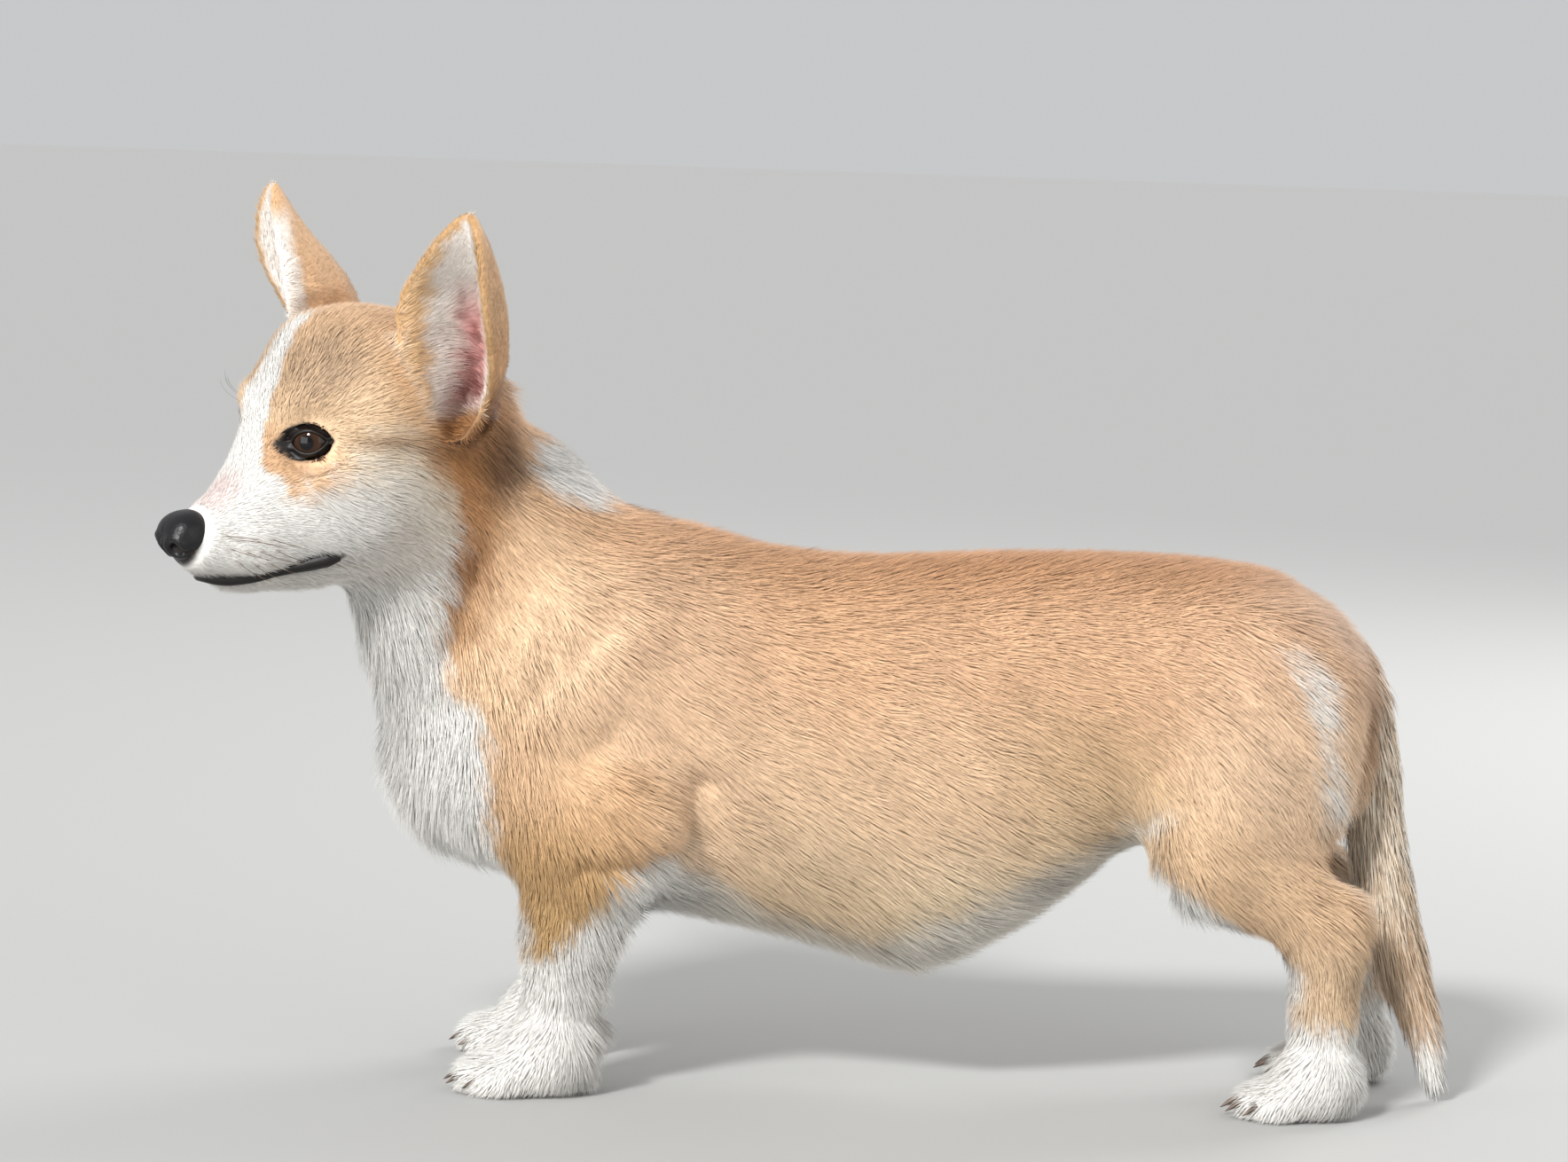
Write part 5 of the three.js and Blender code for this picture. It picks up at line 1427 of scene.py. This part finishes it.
# The colours of the strands that are mixed in the tail.
CREAM_STRAND, SABLE_STRAND = srgb(238, 228, 212), srgb(206, 182, 154)
DARK_STRAND = srgb(140, 118, 100)
TAIL_TUFTS, TAIL_TUFT_WIDTH, TAIL_TUFT_LENGTH, TAIL_STAND = 11500, 0.75, (18, 34), 6.0
# Places along the tail are told in rows of its line. Tufts start at the first of these, are few
# up to the second, and those left out there start past the third instead.
TAIL_START, TAIL_FULL, TAIL_AGAIN = 0.9, 2.4, 2.2
# Rows of place and a part of the length or of the stand of a tuft.
LENGTH_PARTS = [(0.9, 0.45), (2, 0.7), (3, 0.95), (7, 1), (9, 0.8)]
STAND_PARTS = [(0.9, 0.15), (1.5, 0.5), (3, 1.1), (5, 1.1), (7, 0.8), (9, 0.2)]


def tail_coat():
    """Long tufts down the tail."""
    count = TAIL_TUFTS
    place = chance.uniform(TAIL_START, len(TAIL_LINE) - 2.2, count)
    late = (place < TAIL_FULL) & (chance.random(count) > (place - TAIL_START) / 1.5)
    place = np.where(late, chance.uniform(TAIL_AGAIN, 7, count), place)
    rows = np.arange(len(TAIL_LINE))
    centre = between(place, rows, TAIL_LINE)
    ahead = between(place + 0.4, rows, TAIL_LINE)
    radius = np.interp(place, rows, TAIL_RADII)
    along = unit(ahead - centre)
    level = np.array([0, 1, 0])[None].repeat(count, 0)
    rise = np.cross(along, level)
    angle = chance.uniform(0, 2 * pi, count)
    normals = level * np.cos(angle)[:, None] + rise * np.sin(angle)[:, None]
    roots = centre + normals * radius[:, None] * 0.9
    lengths = chance.uniform(*TAIL_TUFT_LENGTH, count)
    lengths *= np.interp(place, *zip(*LENGTH_PARTS))
    depths = TAIL_STAND * chance.uniform(0.15, 1.0, count)
    depths *= np.interp(place, *zip(*STAND_PARTS))
    ways = along_skin(unit(along + 0.07 * chance.normal(size=(count, 3))), normals)
    colours = markings(roots, normals, np.array(["tail"] * count))
    kind = chance.random(count)
    strand = np.where(kind[:, None] < 0.5, CREAM_STRAND, SABLE_STRAND)
    strand = np.where(kind[:, None] > 0.82, DARK_STRAND, strand)
    sable = step(roots[:, 2] - 52, 10) * step(186 - roots[:, 2], 24)
    colours = lay(colours, sable * np.interp(roots[:, 2], [60, 120], [0.3, 0.62]), strand)
    colours = colours * chance.uniform(0.92, 1.08, (count, 1))
    made = tuft_mesh("coat_tail", roots, normals, ways, lengths, depths,
                     TAIL_TUFT_WIDTH * chance.uniform(0.7, 1.2, count), np.clip(colours, 0, 1),
                     np.stack([place / len(TAIL_LINE), angle / 7], 1), bends=2)
    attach(made, "root")
    return made


coat.append(tail_coat())
print("tail faces:", len(coat[-1].data.polygons))

# %% [markdown]
# Whiskers and brow hairs are single stiff hairs, much longer and thinner than a tuft. They are
# made by the same function, with more bends, from rows of places on the muzzle and brow.

# %% Whiskers
BROW_ROOTS = [(-50, 16, 44), (-52, 19, 45), (-54, 22, 45), (-56, 24, 44)]
WHISKER_WIDTH, WHISKER_COLOUR = 0.32, srgb(96, 80, 66)


def whiskers():
    """Long single hairs on both sides of the muzzle and over both eyes."""
    roots, ways, lengths, stands = [], [], [], []
    for s in SIDES.values():
        for f, u in WHISKER_ROOTS:
            roots.append(np.array(on_skin((f, 0, u), (0, s, 0))) / MM)
            ways.append((-1, 0.2 * s, -0.35))
            lengths.append(chance.uniform(11, 18))
            stands.append(chance.uniform(5, 8))
        for f, l, u in BROW_ROOTS:
            start = Vector(from_head([f, s * l, u])[0]) * MM
            roots.append(np.array(SKIN_TREE.find_nearest(start)[0]) / MM)
            ways.append((-0.3, 0.3 * s, 1))
            lengths.append(chance.uniform(9, 14))
            stands.append(chance.uniform(6, 9))
    roots = np.array(roots)
    normals = np.array([SKIN_TREE.find_nearest(Vector(root) * MM)[1] for root in roots])
    ways = along_skin(np.array(ways) @ HEAD_AXES.T, normals)
    count = len(roots)
    made = tuft_mesh("whiskers", roots, normals, ways, np.array(lengths), np.array(stands),
                     np.full(count, WHISKER_WIDTH), np.tile(WHISKER_COLOUR, (count, 1)),
                     unwrap(roots, HEAD_LINE), bends=4)
    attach(made, "root")
    return made


coat.append(whiskers())
print("whiskers:", 2 * (len(WHISKER_ROOTS) + len(BROW_ROOTS)))

# %% [markdown]
# Materials. The coat and skin read their colour from the attribute that the markings were
# written to, with a fine unevenness over it. Leather, lids and lips are near black and moist,
# the claws are mixed from two browns, and the iris is a row of colours outward from the pupil.

# %% Materials
def material(name, roughness, specular=0.5):
    """A new material with its node tree and main shader."""
    made = bpy.data.materials.new(name)
    made.use_nodes = True
    shader = made.node_tree.nodes["Principled BSDF"]
    shader.inputs["Roughness"].default_value = roughness
    shader.inputs["Specular IOR Level"].default_value = specular
    return made, made.node_tree, shader


def noise_between(tree, scale, low, high, detail=4.0):
    """A noise over the object's own coordinates, brought to lie between two numbers."""
    place = tree.nodes.new("ShaderNodeTexCoord")
    noise = tree.nodes.new("ShaderNodeTexNoise")
    noise.inputs["Scale"].default_value = scale
    noise.inputs["Detail"].default_value = detail
    spread = tree.nodes.new("ShaderNodeMapRange")
    spread.inputs["From Min"].default_value = 0.3
    spread.inputs["From Max"].default_value = 0.7
    spread.inputs["To Min"].default_value = low
    spread.inputs["To Max"].default_value = high
    tree.links.new(place.outputs["Object"], noise.inputs["Vector"])
    tree.links.new(noise.outputs["Fac"], spread.inputs["Value"])
    return spread.outputs["Result"]


def bump(tree, shader, scale, height, strength):
    """A bump from noise on the shader's normal."""
    relief = tree.nodes.new("ShaderNodeBump")
    relief.inputs["Strength"].default_value = strength
    relief.inputs["Distance"].default_value = height * MM
    tree.links.new(noise_between(tree, scale, 0, 1), relief.inputs["Height"])
    tree.links.new(relief.outputs["Normal"], shader.inputs["Normal"])


def coat_material(name, darker):
    """Hair or skin: the colour of the markings, uneven over a few millimetres."""
    made, tree, shader = material(name, 0.62, 0.25)
    colour = tree.nodes.new("ShaderNodeAttribute")
    colour.attribute_name = "shade"
    mixed = tree.nodes.new("ShaderNodeMix")
    mixed.data_type = "RGBA"
    mixed.blend_type = "MULTIPLY"
    mixed.inputs["Factor"].default_value = 1
    grey = tree.nodes.new("ShaderNodeCombineColor")
    value = noise_between(tree, 420, darker * 0.9, darker * 1.06)
    for channel in ("Red", "Green", "Blue"):
        tree.links.new(value, grey.inputs[channel])
    tree.links.new(colour.outputs["Color"], mixed.inputs["A"])
    tree.links.new(grey.outputs["Color"], mixed.inputs["B"])
    tree.links.new(mixed.outputs["Result"], shader.inputs["Base Color"])
    shader.inputs["Sheen Weight"].default_value = 0.12
    shader.inputs["Sheen Roughness"].default_value = 0.5
    return made, tree, shader


hair, _, _ = coat_material("coat hair", 1.0)
# The skin is made 5% darker than the hair, as painted shade under the coat.
skin_finish, skin_tree, skin_shader = coat_material("skin under the coat", 0.95)
bump(skin_tree, skin_shader, 600, 0.5, 0.4)
leather, tree, shader = material("nose leather", 0.36, 0.35)
shader.inputs["Base Color"].default_value = (0.006, 0.0055, 0.0065, 1)
bump(tree, shader, 900, 0.25, 0.35)
rim_skin, tree, shader = material("black rim skin", 0.42, 0.3)
shader.inputs["Base Color"].default_value = (0.008, 0.006, 0.0055, 1)
bump(tree, shader, 1400, 0.15, 0.3)
horn, tree, shader = material("claw horn", 0.42, 0.5)
ramp = tree.nodes.new("ShaderNodeValToRGB")
ramp.color_ramp.elements[0].color = (0.035, 0.024, 0.018, 1)
ramp.color_ramp.elements[1].color = (0.16, 0.11, 0.08, 1)
tree.links.new(noise_between(tree, 260, 0, 1), ramp.inputs["Fac"])
tree.links.new(ramp.outputs["Color"], shader.inputs["Base Color"])
# The colours of the eye outward from the middle of the pupil, by the part of the ball's radius.
IRIS = [(0.0, (0.001, 0.001, 0.001)), (0.26, (0.001, 0.001, 0.001)), (0.31, (0.022, 0.009, 0.004)),
        (0.50, (0.040, 0.017, 0.007)), (0.62, (0.006, 0.003, 0.002)), (0.70, (0.02, 0.015, 0.013))]
eye_glass, tree, shader = material("eye", 0.05, 0.3)
off_axis = tree.nodes.new("ShaderNodeAttribute")
off_axis.attribute_name = "off_axis"
iris = tree.nodes.new("ShaderNodeValToRGB")
iris.color_ramp.elements.remove(iris.color_ramp.elements[1])
for n, (place, colour) in enumerate(IRIS):
    stop = iris.color_ramp.elements[0] if n == 0 else iris.color_ramp.elements.new(place)
    stop.position = place
    stop.color = (*colour, 1)
tree.links.new(off_axis.outputs["Fac"], iris.inputs["Fac"])
tree.links.new(iris.outputs["Color"], shader.inputs["Base Color"])


def dress(piece, finish):
    """Gives a piece one finish in place of any it had."""
    piece.data.materials.clear()
    piece.data.materials.append(finish)


layer = skin.data.attributes.new("shade", "FLOAT_COLOR", "POINT")
solid_colours = np.concatenate([skin_colours, np.ones((len(skin_colours), 1))], 1)
layer.data.foreach_set("color", solid_colours.astype(np.float32).ravel())
shade_softly(skin)
dress(skin, skin_finish)
for piece in coat:
    dress(piece, hair)
dress(nose, leather)
for piece in (*lid_pieces, lip_edge):
    dress(piece, rim_skin)
for piece in claws:
    dress(piece, horn)
for piece in eyes:
    dress(piece, eye_glass)
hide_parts(*FLESH, "tail")
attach(skin, "root")
print("finishes:", [m.name for m in bpy.data.materials if m.users])

# %% [markdown]
# The studio: a wide pale disc of floor that the feet rest on, and a sun with a soft edge on the
# camera's side. Two square lights fill the shade, one of them from low down in front, another
# lights the far side from behind, and pale light comes from all round.

# %% Floor and lights
FLOOR_REACH = 60
# What the lights face: a place in the middle of the dog's body, in metres.
LIT_PLACE = (0, 0, 0.18)
bpy.ops.mesh.primitive_circle_add(vertices=96, radius=FLOOR_REACH, fill_type="NGON")
floor = bpy.context.object
floor.name = "floor"
floor_finish, tree, shader = material("pale floor", 0.7, 0.3)
shader.inputs["Base Color"].default_value = (0.46, 0.46, 0.45, 1)
dress(floor, floor_finish)
floor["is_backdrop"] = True


def soft_light(name, place, size, power):
    """A square light of some width that faces the dog."""
    lamp = bpy.data.lights.new(name, "AREA")
    lamp.size = size
    lamp.energy = power
    made = in_scene(bpy.data.objects.new(name, lamp))
    made.location = place
    made.rotation_mode = "QUATERNION"
    made.rotation_quaternion = (Vector(LIT_PLACE) - Vector(place)).to_track_quat("-Z", "Y")
    return made


key = soft_light("key", (0.8, 1.7, 1.5), 1.0, 1)
key.data.type = "SUN"
key.data.energy = 3.4
key.data.angle = radians(9)
soft_light("fill", (-1.6, 1.8, 0.9), 1.6, 10)
soft_light("low fill", (1.7, 1.7, 0.35), 1.4, 22)
soft_light("back", (-1.5, -1.6, 1.4), 1.2, 30)
world = bpy.data.worlds.new("studio")
bpy.context.scene.world = world
world.use_nodes = True
world.node_tree.nodes["Background"].inputs["Color"].default_value = (0.82, 0.83, 0.84, 1)
world.node_tree.nodes["Background"].inputs["Strength"].default_value = 0.7
bpy.context.scene.view_settings.view_transform = "Standard"

# %% [markdown]
# Last, the box of what shows is put beside the box of the solids, and printed. Hair may
# stand proud of the solids by only a few millimetres.

# %% Sizes, and the end
boxes = {"solids": [list(v) for v in solids_box], "shown": [list(v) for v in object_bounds()]}
print("shown box in mm:", [round(v / MM) for corner in boxes["shown"] for v in corner])
